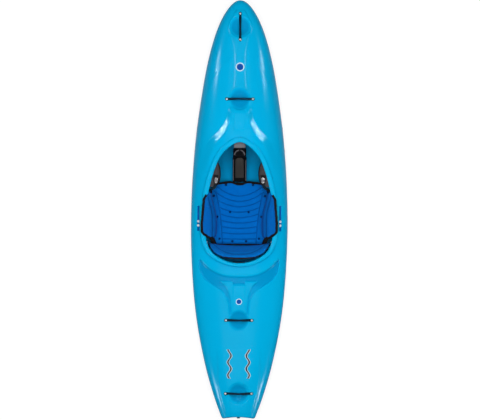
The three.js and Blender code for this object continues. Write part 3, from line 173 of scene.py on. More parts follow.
def keelDrop(s):
    bow = hull["bowRocker"] * clamp01(1 - s / hull["bowShare"]) ** 2.2
    stern = hull["sternRocker"] * clamp01((s - hull["sternShare"]) / (1 - hull["sternShare"])) ** 2
    return (sheerHeight(s) - bow - stern) * noseRound(s)


def deckRound(share):
    return np.sqrt(1 - share ** hull["section"])


def bottomRound(share, s):  # share of the drop to the keel, from the share of the half width
    flat = flatHalf(s)
    out = clamp01((share - flat) / (1 - flat))
    return (1 - out ** hull["section"]) ** (1 / hull["section"])


def deckHeight(x, y):
    s = shareAt(y)
    return sheerHeight(s) + crownHeight(s) * deckRound(clamp01(beamShare(x, y)))


def floorHeight(x, y):
    s = shareAt(y)
    return sheerHeight(s) - keelDrop(s) * bottomRound(beamShare(x, y), s)


def pocketShare(side, y):
    wall = pocket["wall"]
    inside = smoothStep((side - pocket["inner"]) / wall) * smoothStep((pocket["outer"] - side) / wall)
    return inside * smoothStep((pocket["front"] - y) / wall) * smoothStep((y - pocket["rear"]) / wall)


def deckDetail(x, y):  # how far the moulded details lift or sink the deck
    side = np.abs(x)
    # raised spine between the two bow recesses
    half = curveThrough(spineRows, y)
    ends = smoothStep((spine["front"] - y) / spine["end"]) * smoothStep((y - spine["rear"]) / spine["end"])
    lift = spine["rise"] * smoothStep((half + spine["flank"] - side) / spine["flank"]) * ends
    # raised collar in front of and beside the rim
    u = clamp01((collar["front"] - y) / (collar["front"] - collar["rear"]))
    top = rim["halfWidth"] * curveThrough(collarHalfShares, u)
    flank = collar["flank"] * curveThrough(collarFlankShares, u)
    share = (side - top) / flank
    share = 0.5 * (share + np.sqrt(share**2 + collar["soft"]))
    ends = smoothStep(u * 8) * smoothStep((1 - u) * 2)
    lift = np.maximum(lift, collar["rise"] * clamp01(1 - share) ** collar["power"] * ends)
    # soft edge of the arched knee room, and of the plateau on the rear deck
    within = kneeArch["apex"] - kneeArch["reach"] * (x / kneeArch["half"]) ** 2 - y
    knee = smoothStep(within / kneeArch["edge"]) * (1 - smoothStep((within - kneeArch["crest"]) / kneeArch["fade"]))
    lift = lift + kneeArch["rise"] * knee * smoothStep((0.9 - beamShare(x, y)) / 0.1)
    edge = halfBeam(shareAt(y)) * curveThrough(sternPlateauShares, y) - side
    behind = smoothStep((sternPlateau["front"] - y) / sternPlateau["step"])
    lift = lift + sternPlateau["rise"] * smoothStep(edge / sternPlateau["edge"]) * behind
    # thin groove round the panel
    dx = side - (panel["half"] - panel["corner"])
    dy = np.abs(y - (panel["front"] + panel["rear"]) / 2) - ((panel["front"] - panel["rear"]) / 2 - panel["corner"])
    outside = np.hypot(np.maximum(dx, 0), np.maximum(dy, 0)) + np.minimum(np.maximum(dx, dy), 0) - panel["corner"]
    lift = lift - panel["depth"] * (1 - smoothStep(np.abs(outside) / panel["groove"]))
    # crescent behind the rim, whose ends run back as channels beside two raised teeth
    w = clamp01(side / crescent["half"])
    front = crescent["front"] + crescent["sweep"] * w**2.7
    outer = smoothStep((curveThrough(recessOuterRows, y) - side) / channel["edge"] + 0.5)
    within = smoothStep((front - y) / crescent["frontEdge"]) * outer
    middle = smoothStep((crescent["middleHalf"] - side) / crescent["sideEdge"] + 0.5)
    rear = mix(crescent["rear"], crescent["middleRear"], middle)
    acrossDeck = smoothStep((y - rear) / mix(crescent["rearEdge"], crescent["middleEdge"], middle))
    ahead = smoothStep((y - channel["rear"]) / channel["fade"])
    beside = smoothStep((side - curveThrough(toothRows, y)) / channel["edge"] + 0.5) * ahead
    deeper = smoothStep((y - channel["front"]) / channel["ramp"] + 1)
    depth = mix(channel["depth"], crescent["depth"], deeper)
    sink = -depth * within * np.maximum(acrossDeck, beside)
    tooth = smoothStep((side - crescent["middleHalf"]) / 0.004 + 0.5) * ahead
    sink = np.minimum(sink, -channel["step"] * within * tooth)
    # hand recesses
    for place in loopPlaces.values():
        r = np.hypot(x, y - place) / dish["radius"]
        cap = dish["depth"] * (1 - r**2)
        hollow = -0.5 * (cap + np.sqrt(cap**2 + dish["edge"] ** 2)) * smoothStep((1.5 - r) * 4)
        lift = lift * smoothStep((r - 1) * dish["radius"] / dish["apron"] + 0.2)
        sink = np.minimum(sink, hollow)
    # pockets beside the rim, with level floors that run out to the deck
    floor = deckHeight(pocket["level"], pocket["rear"]) - deckHeight(x, y)
    return lift + np.minimum(sink, np.minimum(floor, 0) * pocketShare(side, y))


def deckSurface(x, y):
    return deckHeight(x, y) + deckDetail(x, y)


def rimOuter(t):  # outline of the rim by a share round it from the front
    down = (1 - np.cos(2 * math.pi * t)) / 2
    wide = np.sin(2 * math.pi * t) * curveThrough(rimShares, down)
    return np.stack([rim["halfWidth"] * wide, rim["front"] - rim["length"] * down], -1)


def lipWidth(t):
    return mix(rim["lip"], rim["rearLip"], smoothStep(((1 - np.cos(2 * math.pi * t)) / 2 - 0.8) / 0.2))


def rimPoint(t, inward):
    run = rimOuter(t + 1e-3) - rimOuter(t - 1e-3)
    run = run / np.linalg.norm(run, axis=-1, keepdims=True)
    return rimOuter(t) + np.stack([run[..., 1], -run[..., 0]], -1) * np.asarray(inward)[..., None]


def pointsOf(piece, key="co"):
    values = np.empty(len(piece.data.vertices) * 3)
    piece.data.vertices.foreach_get(key, values)
    return values.reshape(-1, 3)


def editAll(piece, *steps):  # mesh operators, each with its settings, run on a whole piece
    pick(piece)
    bpy.ops.object.mode_set(mode="EDIT")
    bpy.ops.mesh.select_all(action="SELECT")
    for operator, settings in steps:
        operator(**settings)
    bpy.ops.object.mode_set(mode="OBJECT")


def gridPiece(name, points, flip=False):  # a grid whose points are put on a surface: rows, columns, xyz
    rows, columns = points.shape[:2]
    pick()
    bpy.ops.mesh.primitive_grid_add(x_subdivisions=columns - 1, y_subdivisions=rows - 1, size=2)
    piece = bpy.context.object
    piece.name = piece.data.name = name
    piece.data.vertices.foreach_set("co", points.reshape(-1).astype(np.float32))
    piece.data.update()
    if flip:
        editAll(piece, (bpy.ops.mesh.flip_normals, {}))
    return piece


def closeUp(piece, distance=1e-6):
    threshold = {"threshold": distance}
    editAll(piece, (bpy.ops.mesh.remove_doubles, threshold), (bpy.ops.mesh.dissolve_degenerate, threshold))
    bpy.ops.object.shade_smooth()


def cutInside(piece, outline, axes=(0, 1)):  # takes out the faces inside an outline, and draws the edge onto it
    co = pointsOf(piece)
    flat = co[:, axes]
    index = np.nonzero(np.all((flat > outline.min(0) - 0.02) & (flat < outline.max(0) + 0.02), axis=1))[0]
    after = np.roll(outline, -1, axis=0)
    rise = np.where(after[:, 1] == outline[:, 1], 1e-12, after[:, 1] - outline[:, 1])
    inside = np.zeros(len(co), bool)
    nearest = co.copy()
    batch = 2000
    for start in range(0, len(index), batch):
        part = index[start : start + batch]
        p = flat[part][:, None]
        crosses = (outline[:, 1] > p[..., 1]) != (after[:, 1] > p[..., 1])
        left = p[..., 0] < (after[:, 0] - outline[:, 0]) * (p[..., 1] - outline[:, 1]) / rise + outline[:, 0]
        inside[part] = np.sum(crosses & left, axis=1) % 2 == 1
        nearest[part[:, None], axes] = outline[np.argmin(np.sum((p - outline) ** 2, axis=2), axis=1)]
    mesh = piece.data
    for group in (mesh.polygons, mesh.edges, mesh.vertices):
        group.foreach_set("select", [False] * len(group))
    for face in mesh.polygons:
        within = [v for v in face.vertices if inside[v]]
        if len(within) == len(face.vertices):
            face.select = True
        else:
            for v in within:
                mesh.vertices[v].co = nearest[v]
    pick(piece)
    tools = bpy.context.tool_settings
    tools.mesh_select_mode = (False, False, True)
    bpy.ops.object.mode_set(mode="EDIT")
    bpy.ops.mesh.delete(type="FACE")
    bpy.ops.object.mode_set(mode="OBJECT")
    tools.mesh_select_mode = (True, False, False)


sternEnd = -1.3605  # where the rounded corner at the stern starts
bowEnd = {"tip": 1.3725, "run": 0.0725, "steps": 18}


def bowPlace(i):
    return bowEnd["tip"] - bowEnd["run"] * (i / bowEnd["steps"]) ** 2


def stationPlaces():  # places from the stern's corner to the bow's tip, close where the deck has detail
    places = [sternEnd - hull["sternRadius"] * math.sin(math.pi / 2 * i / 7) for i in range(7, 0, -1)]
    start = sternEnd
    for end, step in (
        (-1.290, 0.004), (-1.120, 0.003), (-0.800, 0.009), (-0.330, 0.0031), (-0.155, 0.007),
        (0.040, 0.004), (0.440, 0.007), (0.790, 0.003), (1.100, 0.007), (1.300, 0.0029),
    ):
        places += list(np.linspace(start, end, int((end - start) / step), endpoint=False))
        start = end
    return np.array(places + [bowPlace(i) for i in range(bowEnd["steps"], -1, -1)])


def acrossShares(steps, edgeSteps):  # shares of the half width, left to right, from rows of end share and step
    right = [0.0]
    for end, step in steps:
        right += list(np.linspace(right[-1], end, max(round((end - right[-1]) / step), 1) + 1)[1:])
    power = hull["section"] / 2
    turn = math.acos(right[-1] ** power)
    right += [math.cos(turn * (1 - (i + 1) / edgeSteps)) ** (1 / power) for i in range(edgeSteps)]
    return np.array([-a for a in right[:0:-1]] + right)


def shellPoints(y, shares, inset, top):  # rows of one face of the shell, above or below the sheer
    s = shareAt(y)
    cornerShare = hull["sternRadius"] / hull["length"]
    end = clamp01((s - 1 + cornerShare) / cornerShare)
    less = inset + hull["sternRadius"] * (1 - np.sqrt(1 - end**2)) * 0.8
    width = np.maximum(halfBeam(s) - less, 0)[:, None]
    a = np.abs(shares)[None, :]
    x = width * shares[None, :]
    if top:
        fromSheer = np.maximum(crownHeight(s) - less, 0)[:, None] * deckRound(a)
    else:
        fromSheer = -np.maximum(keelDrop(s) - less, 0)[:, None] * bottomRound(a, s[:, None])
    hollow = hull["sternHollow"] * smoothStep((s - hull["hollowShare"]) / (1 - hull["hollowShare"]))[:, None]
    along = y[:, None] + hollow * (1 - (x / np.maximum(width, 1e-9)) ** 2)
    return np.stack([x, along, sheerHeight(s)[:, None] + fromSheer], -1)


places = stationPlaces()
deckColumns = acrossShares([(0.30, 0.0125), (0.79, 0.018), (0.90, 0.010)], 11)
bottomShares = acrossShares([(0.9, 0.065)], 12)

deckPoints = shellPoints(places, deckColumns, 0, True)
fade = smoothStep((deckPoints[..., 1] + 1.355) / 0.03)  # no details on the stern's edge
deckPoints[..., 2] += deckDetail(deckPoints[..., 0], deckPoints[..., 1]) * fade
hullDeck = gridPiece("hullDeck", deckPoints)
ringShares = (np.arange(720) + 0.5) / 720
cutInside(hullDeck, rimPoint(ringShares, lipWidth(ringShares) - rim["thickness"] - rim["under"]))
closeUp(hullDeck, 2e-5)
x, y, z = pointsOf(hullDeck).T
onTop = smoothStep((0.95 - beamShare(x, y)) / 0.04)
fullRecessShade, pocketShade = 0.008, 1.6  # depth that gets the full painted shade, and the value in the pockets, where the painted shade is darker still
# painted shade: the deck is coloured darker the deeper it sinks below its plain height, and darker still in the
# pockets
recess = clamp01((deckHeight(x, y) - z - 0.001) / fullRecessShade) * onTop
recess = np.maximum(recess, pocketShade * pocketShare(np.abs(x), y) * (z > 0))
hullDeck.data.attributes.new("recess", "FLOAT", "POINT").data.foreach_set("value", recess)

hullBottom = gridPiece("hullBottom", shellPoints(places, bottomShares, 0, False), flip=True)
closeUp(hullBottom, 2e-5)

# the stern's face stands between the last row of the deck and that of the bottom
topRow = shellPoints(places[:1], deckColumns, 0, True)[0]
lowRow = shellPoints(places[:1], deckColumns, 0, False)[0]
sternFace = gridPiece("sternFace", np.stack([mix(lowRow, topRow, k / 12) for k in range(13)], 0))
turn = np.linspace(0, 2 * math.pi, 48, endpoint=False)
drain = {"z": 0.2112, "hole": 0.0092}
drainRing = np.stack([drain["hole"] * np.cos(turn), drain["z"] + drain["hole"] * np.sin(turn)], -1)
cutInside(sternFace, drainRing, axes=(0, 2))
closeUp(sternFace)

innerPlaces = np.concatenate([places[8::3], [bowPlace(3)]])
innerShares = acrossShares([(0.9, 0.03)], 10)
innerTop = shellPoints(innerPlaces, innerShares, hull["wall"], True)
innerTop[..., 2] += np.minimum(deckDetail(innerTop[..., 0], innerTop[..., 1]), 0)
hullInside = gridPiece("hullInside", innerTop, flip=True)
cutInside(hullInside, rimPoint(ringShares, lipWidth(ringShares)))
lowHalf = gridPiece("hullInsideLow", shellPoints(innerPlaces, innerShares, hull["wall"], False))
pick(hullInside, lowHalf)
bpy.ops.object.join()
closeUp(hullInside, 2e-5)
print("shell:", [(p.name, len(p.data.polygons)) for p in (hullDeck, hullBottom, sternFace, hullInside)])


def rimProfile(t):  # rows of inward distance from the lip's outer edge, and height, at places round the rim
    lip = lipWidth(t)
    outerWall = lip - rim["thickness"]
    foot = rimPoint(t, outerWall)
    at = rimOuter(t)
    top = deckHeight(at[..., 0], at[..., 1]) + rim["rise"]
    rise = np.minimum(rim["fillet"], (top - deckSurface(foot[:, 0], foot[:, 1])) * 0.45)
    quarter = [math.pi / 2 * i / 5 for i in range(6)]
    rows = []
    for a in quarter:  # hollow fillet up from the deck
        n = outerWall - rim["fillet"] * (1 - math.sin(a))
        p = rimPoint(t, n)
        rows.append((n, deckSurface(p[:, 0], p[:, 1]) - 0.0006 * (a == 0) + rise * (1 - math.cos(a))))
    under = top - rim["thickness"]
    for a in (math.pi / 2 * i / 3 for i in range(4)):  # and out under the lip
        rows.append((outerWall - rim["under"] * (1 - math.cos(a)), under - rim["under"] * (1 - math.sin(a))))
    rows.append((0.010, under))
    roll = rim["roll"]
    for a in (0, 0.35, 0.7, 1):  # curled outer edge
        rows.append((mix(0.0065, 0.0035, a), under - roll * smoothStep(a)))
    for a in (math.pi * i / 6 for i in range(7)):
        rows.append((rim["curl"] * (1 - math.sin(a)), under - roll - 0.0005 + (roll + 0.005) * (1 - math.cos(a)) / 2))
    for n, drop in ((0.0042, 0.0006), (0.008, 0.0001), (0.013, 0)):
        rows.append((n, top - drop))
    for share, drop in ((0.55, 0.0001), (0.75, 0.0004)):
        rows.append((mix(0.013, lip, share), top - drop))
    for a in quarter:  # rounded inner edge and the wall down to the inside
        rows.append((lip - rim["edgeRound"] * (1 - math.sin(a)), top - 0.0009 - 0.0055 * (1 - math.cos(a))))
    x, y = rimPoint(t, lip).T
    low = deckHeight(x, y) + np.minimum(deckDetail(x, y), 0) - hull["wall"]
    for share in (0.4, 0.8, 1):
        rows.append((lip, mix(top - rim["edgeDrop"], low - 0.001, share)))
    return rows


ring = np.arange(361) / 360
ring[-1] = 0
rimPoints = [np.concatenate([rimPoint(ring, n), z[:, None]], 1) for n, z in rimProfile(ring)]
cockpitRim = gridPiece("cockpitRim", np.stack(rimPoints, 0), flip=True)
closeUp(cockpitRim, 1e-5)
print("rim:", len(cockpitRim.data.polygons), "faces")


# materials: a pattern's scale is one over its real size in metres, and grains, knits and weaves finer than
# 1.5 mm are drawn 1.2 to 3 mm wide, because they wouldn't show in the render
def hexColour(code):  # sRGB hex to linear
    parts = [int(code[i : i + 2], 16) / 255 for i in (1, 3, 5)]
    return tuple(p / 12.92 if p <= 0.04045 else ((p + 0.055) / 1.055) ** 2.4 for p in parts) + (1.0,)


def addNode(material, kind, inputs, output=0, **settings):  # an output of a new node with its links and values
    tree = material.node_tree
    node = tree.nodes.new("ShaderNode" + kind)
    for key, value in settings.items():
        setattr(node, key, value)
    for key, value in inputs.items():
        if isinstance(value, bpy.types.NodeSocket):
            tree.links.new(value, node.inputs[key])
        else:
            node.inputs[key].default_value = hexColour(value) if isinstance(value, str) else value
    return node.outputs[output] if node.outputs else None


def newMaterial(name):  # an empty material, and the coordinates that its patterns run in
    m = bpy.data.materials.new(name)
    m.use_nodes = True
    m.node_tree.nodes.clear()
    return m, addNode(m, "TexCoord", {}, "Object")


def finishMaterial(m, inputs):
    shader = addNode(m, "BsdfPrincipled", inputs)
    addNode(m, "OutputMaterial", {"Surface": shader})
    return m


def polyethylene(name, plain, bright, roughness, shine, peel, peelDepth, recessShadeAndMarks):
    # rotomoulded polyethylene: even waxy gloss with a slow drift of tone, a faint orange peel and fine scuffs
    m, place = newMaterial(name)
    drift = addNode(m, "TexNoise", {"Vector": place, "Scale": 1 / 0.35, "Detail": 2.0})
    tone = addNode(m, "Mix", {0: drift, 6: plain, 7: bright}, 2, data_type="RGBA")
    along = addNode(m, "Mapping", {"Vector": place, "Scale": (1, 0.12, 1)})
    scuff = addNode(m, "TexNoise", {"Vector": along, "Scale": 1 / 0.006, "Detail": 3.0, "Roughness": 0.7})
    scuffed = addNode(m, "MapRange", {"Value": scuff, "From Min": 0.64, "From Max": 0.74})
    layers = [(addNode(m, "Math", {0: scuffed, 1: 0.03}, operation="MULTIPLY"), "#9FD8EE")]
    if recessShadeAndMarks:
        # painted shade: mid blue in the deck's recesses, deep blue in the pockets; the moulded marks follow
        recess = addNode(m, "Attribute", {}, "Fac", attribute_name="recess")
        layers.append((addNode(m, "Math", {0: recess, 1: 0.6}, operation="MULTIPLY"), "#0081BE"))
        layers.append((addNode(m, "MapRange", {"Value": recess, "From Min": 1.05, "From Max": 1.5}), "#04509A"))
        layers += plainMarks(m, place)
    for share, colour in layers:
        tone = addNode(m, "Mix", {0: share, 6: tone, 7: colour}, 2, data_type="RGBA")
    gloss = {"Value": scuff, "From Min": 0.35, "From Max": 0.75, "To Min": roughness, "To Max": roughness + 0.06}
    gloss = addNode(m, "MapRange", gloss)
    orangePeel = addNode(m, "TexNoise", {"Vector": place, "Scale": 1 / peel, "Detail": 1.0})
    bump = addNode(m, "Bump", {"Height": orangePeel, "Strength": 0.25, "Distance": peelDepth})
    look = {"Base Color": tone, "Roughness": gloss, "IOR": 1.51, "Specular IOR Level": shine, "Normal": bump}
    return finishMaterial(m, look)


def plainMarks(m, place):
    # plain discs with a pale ring on the centre line, and a plain pair of wavy bands on the rear deck, moulded in
    layers = []
    for y, radius in ((0.930, 0.028), (-0.603, 0.020)):
        at = addNode(m, "Mapping", {"Vector": place, "Location": (0, -y, 0)})
        flatAt = addNode(m, "VectorMath", {0: at, 1: (1, 1, 0)}, operation="MULTIPLY")
        far = addNode(m, "VectorMath", {0: flatAt}, "Value", operation="LENGTH")
        for reach, colour in ((radius, "#CFEAF6"), (radius * 0.78, "#0B4FA8")):
            layers.append((addNode(m, "Math", {0: far, 1: reach}, operation="LESS_THAN"), colour))
    band = {"wave": 0.085, "sway": 0.010, "aside": 0.060, "middle": -1.010, "half": 0.095}
    x, y = addNode(m, "SeparateXYZ", {"Vector": place}).node.outputs[:2]
    aside = addNode(m, "Math", {0: x}, operation="ABSOLUTE")
    phase = addNode(m, "Math", {0: y, 1: 2 * math.pi / band["wave"]}, operation="MULTIPLY")
    wave = addNode(m, "Math", {0: phase}, operation="SINE")
    middle = addNode(m, "Math", {0: wave, 1: band["sway"], 2: band["aside"]}, operation="MULTIPLY_ADD")
    off = addNode(m, "Math", {0: aside, 1: middle}, operation="SUBTRACT")
    off = addNode(m, "Math", {0: off}, operation="ABSOLUTE")
    fromEnd = addNode(m, "Math", {0: y, 1: -band["middle"]}, operation="ADD")
    fromEnd = addNode(m, "Math", {0: fromEnd}, operation="ABSOLUTE")
    onBand = addNode(m, "Math", {0: fromEnd, 1: band["half"]}, operation="LESS_THAN")
    for half, colour in ((0.0085, "#C9D6DA"), (0.0048, "#30363A")):
        near = addNode(m, "Math", {0: off, 1: half}, operation="LESS_THAN")
        layers.append((addNode(m, "Math", {0: near, 1: onBand}, operation="MULTIPLY"), colour))
    return layers


def mouldedPlastic(name, colour, light, grain, roughness, shine):
    # injection-moulded plastic: fine pebbled grain that breaks up a soft shine
    m, place = newMaterial(name)
    pebble = addNode(m, "TexVoronoi", {"Vector": place, "Scale": 1 / grain})
    drift = addNode(m, "TexNoise", {"Vector": place, "Scale": 1 / 0.04, "Detail": 3.0})
    tone = addNode(m, "Mix", {0: drift, 6: colour, 7: light}, 2, data_type="RGBA")
    gloss = addNode(m, "MapRange", {"Value": drift, "To Min": roughness - 0.08, "To Max": roughness + 0.1})
    bump = addNode(m, "Bump", {"Height": pebble, "Strength": 0.35, "Distance": 0.0002})
    look = {"Base Color": tone, "Roughness": gloss, "IOR": 1.5, "Specular IOR Level": shine, "Normal": bump}
    return finishMaterial(m, look)


def knittedCloth(name, deep, plain, sheen):
    # knitted polyester face cloth: two crossing ribs in the thread spacing, soft sheen, slow fading, and painted
    # shade in the sewn creases
    m, place = newMaterial(name)
    pitch = 0.0022
    ribs = {"Vector": place, "Scale": 1 / (pitch * 2 * math.pi), "Distortion": 0.4}
    ribA, ribB = (addNode(m, "TexWave", ribs, "Fac", bands_direction=way) for way in "XY")
    weave = addNode(m, "Math", {0: ribA, 1: ribB}, operation="MULTIPLY")
    drift = addNode(m, "TexNoise", {"Vector": place, "Scale": 1 / 0.03, "Detail": 4.0})
    dark = addNode(m, "MapRange", {"Value": weave, "To Min": 0.20, "To Max": 0.0})
    sewn = addNode(m, "Attribute", {}, "Fac", attribute_name="sewn")
    # painted shade: the cloth turns near-black navy in the creases, by how deep each point was sunk
    seam = addNode(m, "Math", {0: sewn, 1: 0.5}, operation="MULTIPLY")
    tone = addNode(m, "Mix", {0: drift, 6: deep, 7: plain}, 2, data_type="RGBA")
    for share, colour in ((dark, deep), (seam, "#011B3C")):
        tone = addNode(m, "Mix", {0: share, 6: tone, 7: colour}, 2, data_type="RGBA")
    bump = addNode(m, "Bump", {"Height": weave, "Strength": 0.5, "Distance": pitch * 0.25})
    look = {"Base Color": tone, "Roughness": 0.86, "Specular IOR Level": 0.04, "Normal": bump}
    return finishMaterial(m, look | {"Sheen Weight": sheen, "Sheen Roughness": 0.5})


def foam(name, colour, light, cell):
    # closed-cell foam: matt skin with fine open cells
    m, place = newMaterial(name)
    cells = addNode(m, "TexVoronoi", {"Vector": place, "Scale": 1 / cell})
    drift = addNode(m, "TexNoise", {"Vector": place, "Scale": 1 / 0.05, "Detail": 3.0})
    tone = addNode(m, "Mix", {0: drift, 6: colour, 7: light}, 2, data_type="RGBA")
    bump = addNode(m, "Bump", {"Height": cells, "Strength": 0.5, "Distance": cell * 0.3})
    return finishMaterial(m, {"Base Color": tone, "Roughness": 0.93, "Specular IOR Level": 0.08, "Normal": bump})


def webbing(name, colour, light, pitch):
    # woven nylon webbing: ribs across the strap, with a low sheen
    m, place = newMaterial(name)
    ribs = {"Vector": place, "Scale": 1 / (pitch * 2 * math.pi), "Distortion": 0.2}
    rib = addNode(m, "TexWave", ribs, "Fac", bands_direction="DIAGONAL")
    tone = addNode(m, "Mix", {0: rib, 6: colour, 7: light}, 2, data_type="RGBA")
    bump = addNode(m, "Bump", {"Height": rib, "Strength": 0.6, "Distance": pitch * 0.2})
    look = {"Base Color": tone, "Roughness": 0.6, "Specular IOR Level": 0.05, "Normal": bump}
    return finishMaterial(m, look | {"Sheen Weight": 0.01})


def metal(name, colour, roughness, shine, grain, stretch):
    # drawn or brushed metal: fine lines along one way that stretch the highlight
    m, place = newMaterial(name)
    lines = addNode(m, "Mapping", {"Vector": place, "Scale": stretch})
    brush = addNode(m, "TexNoise", {"Vector": lines, "Scale": 1 / grain, "Detail": 3.0})
    gloss = addNode(m, "MapRange", {"Value": brush, "To Min": roughness - 0.08, "To Max": roughness + 0.12})
    tone = addNode(m, "Mix", {0: brush, 6: colour, 7: "#FFFFFF"}, 2, data_type="RGBA")
    tone = addNode(m, "Mix", {0: 0.8, 6: tone, 7: colour}, 2, data_type="RGBA")
    return finishMaterial(m, {"Base Color": tone, "Metallic": shine, "Roughness": gloss})


finishes = {
    "hull": polyethylene("rotomouldedPolyethylene", "#00AEE2", "#00B6EA", 0.13, 0.06, 0.006, 0.0003, True),
    # the inner face's colour is darker than the outer face's, as painted shade inside the hull; its rougher, lumpier
    # face is real
    "hullInside": polyethylene("rotomouldedInnerFace", "#0088BF", "#0094CC", 0.5, 0.04, 0.010, 0.0012, False),
    "blackPlastic": mouldedPlastic("mouldedBlackNylon", "#17181A", "#222326", 0.0016, 0.5, 0.12),
    "greyPlastic": mouldedPlastic("mouldedGreyNylon", "#5C5B60", "#6C6B70", 0.0016, 0.45, 0.12),
    "darkPlastic": mouldedPlastic("mouldedCharcoalNylon", "#0A0B0D", "#121316", 0.0016, 0.45, 0.06),
    "button": mouldedPlastic("mouldedNavyButton", "#012450", "#023064", 0.0016, 0.6, 0.03),
    "polishedSteel": metal("polishedDarkSteel", "#98979C", 0.27, 0.7, 0.0030, (6, 1, 1)),
    "glossPlastic": mouldedPlastic("polishedGreyNylon", "#3C393C", "#4A474A", 0.0030, 0.25, 0.1),
    "slabFoam": foam("skinnedCharcoalFoam", "#353331", "#413F3C", 0.0026),
    # the hip pads' cloth is a darker copy of the seat's, as painted shade on their better lit tops
    "hipCloth": knittedCloth("knittedHipCloth", "#005AAE", "#0068C2", 0.015),
    "seatCloth": knittedCloth("knittedSeatCloth", "#0064BC", "#0072D0", 0.015),
    # the back band's cloth is a lighter copy of the seat's, as painted light on its dimmer face
    "bandCloth": knittedCloth("knittedBandCloth", "#0268BE", "#0478D2", 0.02),
    "blackFoam": foam("blackClosedCellFoam", "#2A2A2C", "#37373A", 0.0022),
    "greyFoam": foam("greyClosedCellFoam", "#66676A", "#77787C", 0.0030),
    "binding": webbing("wovenBlackBinding", "#0D0E10", "#1B1D20", 0.0016),
    "strap": webbing("wovenNylonStrap", "#0B1F29", "#14303D", 0.0018),
    "loop": webbing("coatedNavyWebbing", "#052433", "#0A3347", 0.0026),
    "steel": metal("brushedStainlessSteel", "#DDE2E6", 0.3, 0.4, 0.0006, (1, 6, 1)),
    "aluminium": metal("anodisedAluminium", "#B4B8BC", 0.36, 0.9, 0.0006, (6, 1, 1)),
    "rubber": mouldedPlastic("mouldedRubber", "#101011", "#1A1A1B", 0.0012, 0.8, 0.1),
}
print("materials made:", len(finishes))


def dress(piece, finish, standsFor=None, body="boat"):
    piece.data.materials.clear()
    piece.data.materials.append(finishes[finish])
    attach(piece, body)
    if standsFor:
        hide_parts(standsFor)


for piece in (hullDeck, hullBottom, sternFace, cockpitRim):
    dress(piece, "hull", "hull_shell")
dress(hullInside, "hullInside", "hull_shell")


# making and shaping pieces
def wrapped(name, face, rows, columns):  # closed body between the top and the underside of a face given by two shares
    u, v = np.meshgrid(np.linspace(0, 1, rows), np.linspace(0, 1, columns), indexing="ij")
    top, low = (np.stack(np.broadcast_arrays(*face(u, v, isTop)), -1).astype(float) for isTop in (True, False))
    ring = np.concatenate([top, low[:, ::-1], top[:, :1]], 1)
    middle = (top + low) / 2
    cap = np.concatenate([middle, middle[:, ::-1], middle[:, :1]], 1)
    return closedBody(gridPiece(name, np.concatenate([cap[:1], ring, cap[-1:]], 0)))


def closedBody(piece):
    closeUp(piece)
    editAll(piece, (bpy.ops.mesh.normals_make_consistent, {"inside": False}))
    return piece


def modified(piece, kind, **settings):  # a modifier with its settings, applied at once
    pick(piece)
    modifier = piece.modifiers.new(kind.title(), kind)
    for key, value in settings.items():
        setattr(modifier, key, value)
    bpy.ops.object.modifier_apply(modifier=modifier.name)


def shaded(piece, angle):
    pick(piece)
    bpy.ops.object.shade_smooth_by_angle(angle=math.radians(angle))


def softEdges(piece, width, segments=3, angle=35):
    modified(piece, "BEVEL", width=width, segments=segments, limit_method="ANGLE", angle_limit=math.radians(angle))
    shaded(piece, angle)


def duplicate(source, name):
    copy = source.copy()
    copy.data = source.data.copy()
    copy.name = copy.data.name = name
    bpy.context.scene.collection.objects.link(copy)
    return copy


def fromFrame(name, nodeName):  # copy of a frame node, its triangles joined up and its flat faces made whole
    copy = duplicate(nodes[nodeName], name)
    for key in list(copy.keys()):
        del copy[key]
    copy.hide_render = copy.hide_viewport = False
    pick(copy)
    if copy.data.has_custom_normals:
        bpy.ops.mesh.customdata_custom_splitnormals_clear()
    flat = {"angle_limit": math.radians(2)}
    editAll(copy, (bpy.ops.mesh.remove_doubles, {"threshold": 2e-5}), (bpy.ops.mesh.dissolve_limited, flat))
    return copy


def mirrorCopy(piece, name):
    copy = duplicate(piece, name)
    copy.data.transform(Matrix.Scale(-1, 4, (1, 0, 0)))
    copy.data.flip_normals()
    return copy


def joinAll(name, *pieces):
    pick(*pieces)
    if len(pieces) > 1:
        bpy.ops.object.join()
    pieces[0].name = pieces[0].data.name = name
    return pieces[0]


def primitive(add, at, scale=(1, 1, 1), **settings):
    pick()
    add(location=at, **settings)
    piece = bpy.context.object
    piece.scale = scale
    bpy.ops.object.transform_apply(location=True, rotation=True, scale=True)
    return piece


def standing(at, way):  # the turn and place that stand a shape's own Z along a way
    return Matrix.Translation(at) @ Vector(way).to_track_quat("Z", "Y").to_matrix().to_4x4()


def turned(name, rows, steps, at=(0, 0, 0), way=(0, 0, 1), corners=()):  # rows of radius and height, round an axis
    angle = np.arange(steps + 1) % steps * 2 * math.pi / steps
    points = []
    for i, (radius, height) in enumerate(rows):
        if i in corners:  # a hexagon instead of a circle
            radius = radius * math.cos(math.pi / 6) / np.cos(angle % (math.pi / 3) - math.pi / 6)
        points.append(np.stack([radius * np.cos(angle), radius * np.sin(angle), height + 0 * angle], -1))
    piece = closedBody(gridPiece(name, np.array(points)))
    piece.data.transform(standing(at, way))
    return piece


def swept(name, path, section, closed=False):  # a section of (across, up) points carried along a path, upright
    path = np.asarray(path, float)
    run = np.roll(path, -1, 0) - np.roll(path, 1, 0)
    if not closed:
        run[0], run[-1] = path[1] - path[0], path[-1] - path[-2]
    run /= np.linalg.norm(run, axis=1, keepdims=True)
    side = np.cross(run, (0, 0, 1))
    side /= np.maximum(np.linalg.norm(side, axis=1, keepdims=True), 1e-9)
    up = np.cross(side, run)
    section = np.concatenate([section, section[:1]], 0)
    points = path[:, None] + side[:, None] * section[None, :, :1] + up[:, None] * section[None, :, 1:]
    if closed:
        points = np.concatenate([points, points[:1]], 0)
    else:
        points = np.concatenate([path[:1, None] + 0 * points[:1], points, path[-1:, None] + 0 * points[:1]], 0)
    return closedBody(gridPiece(name, points))


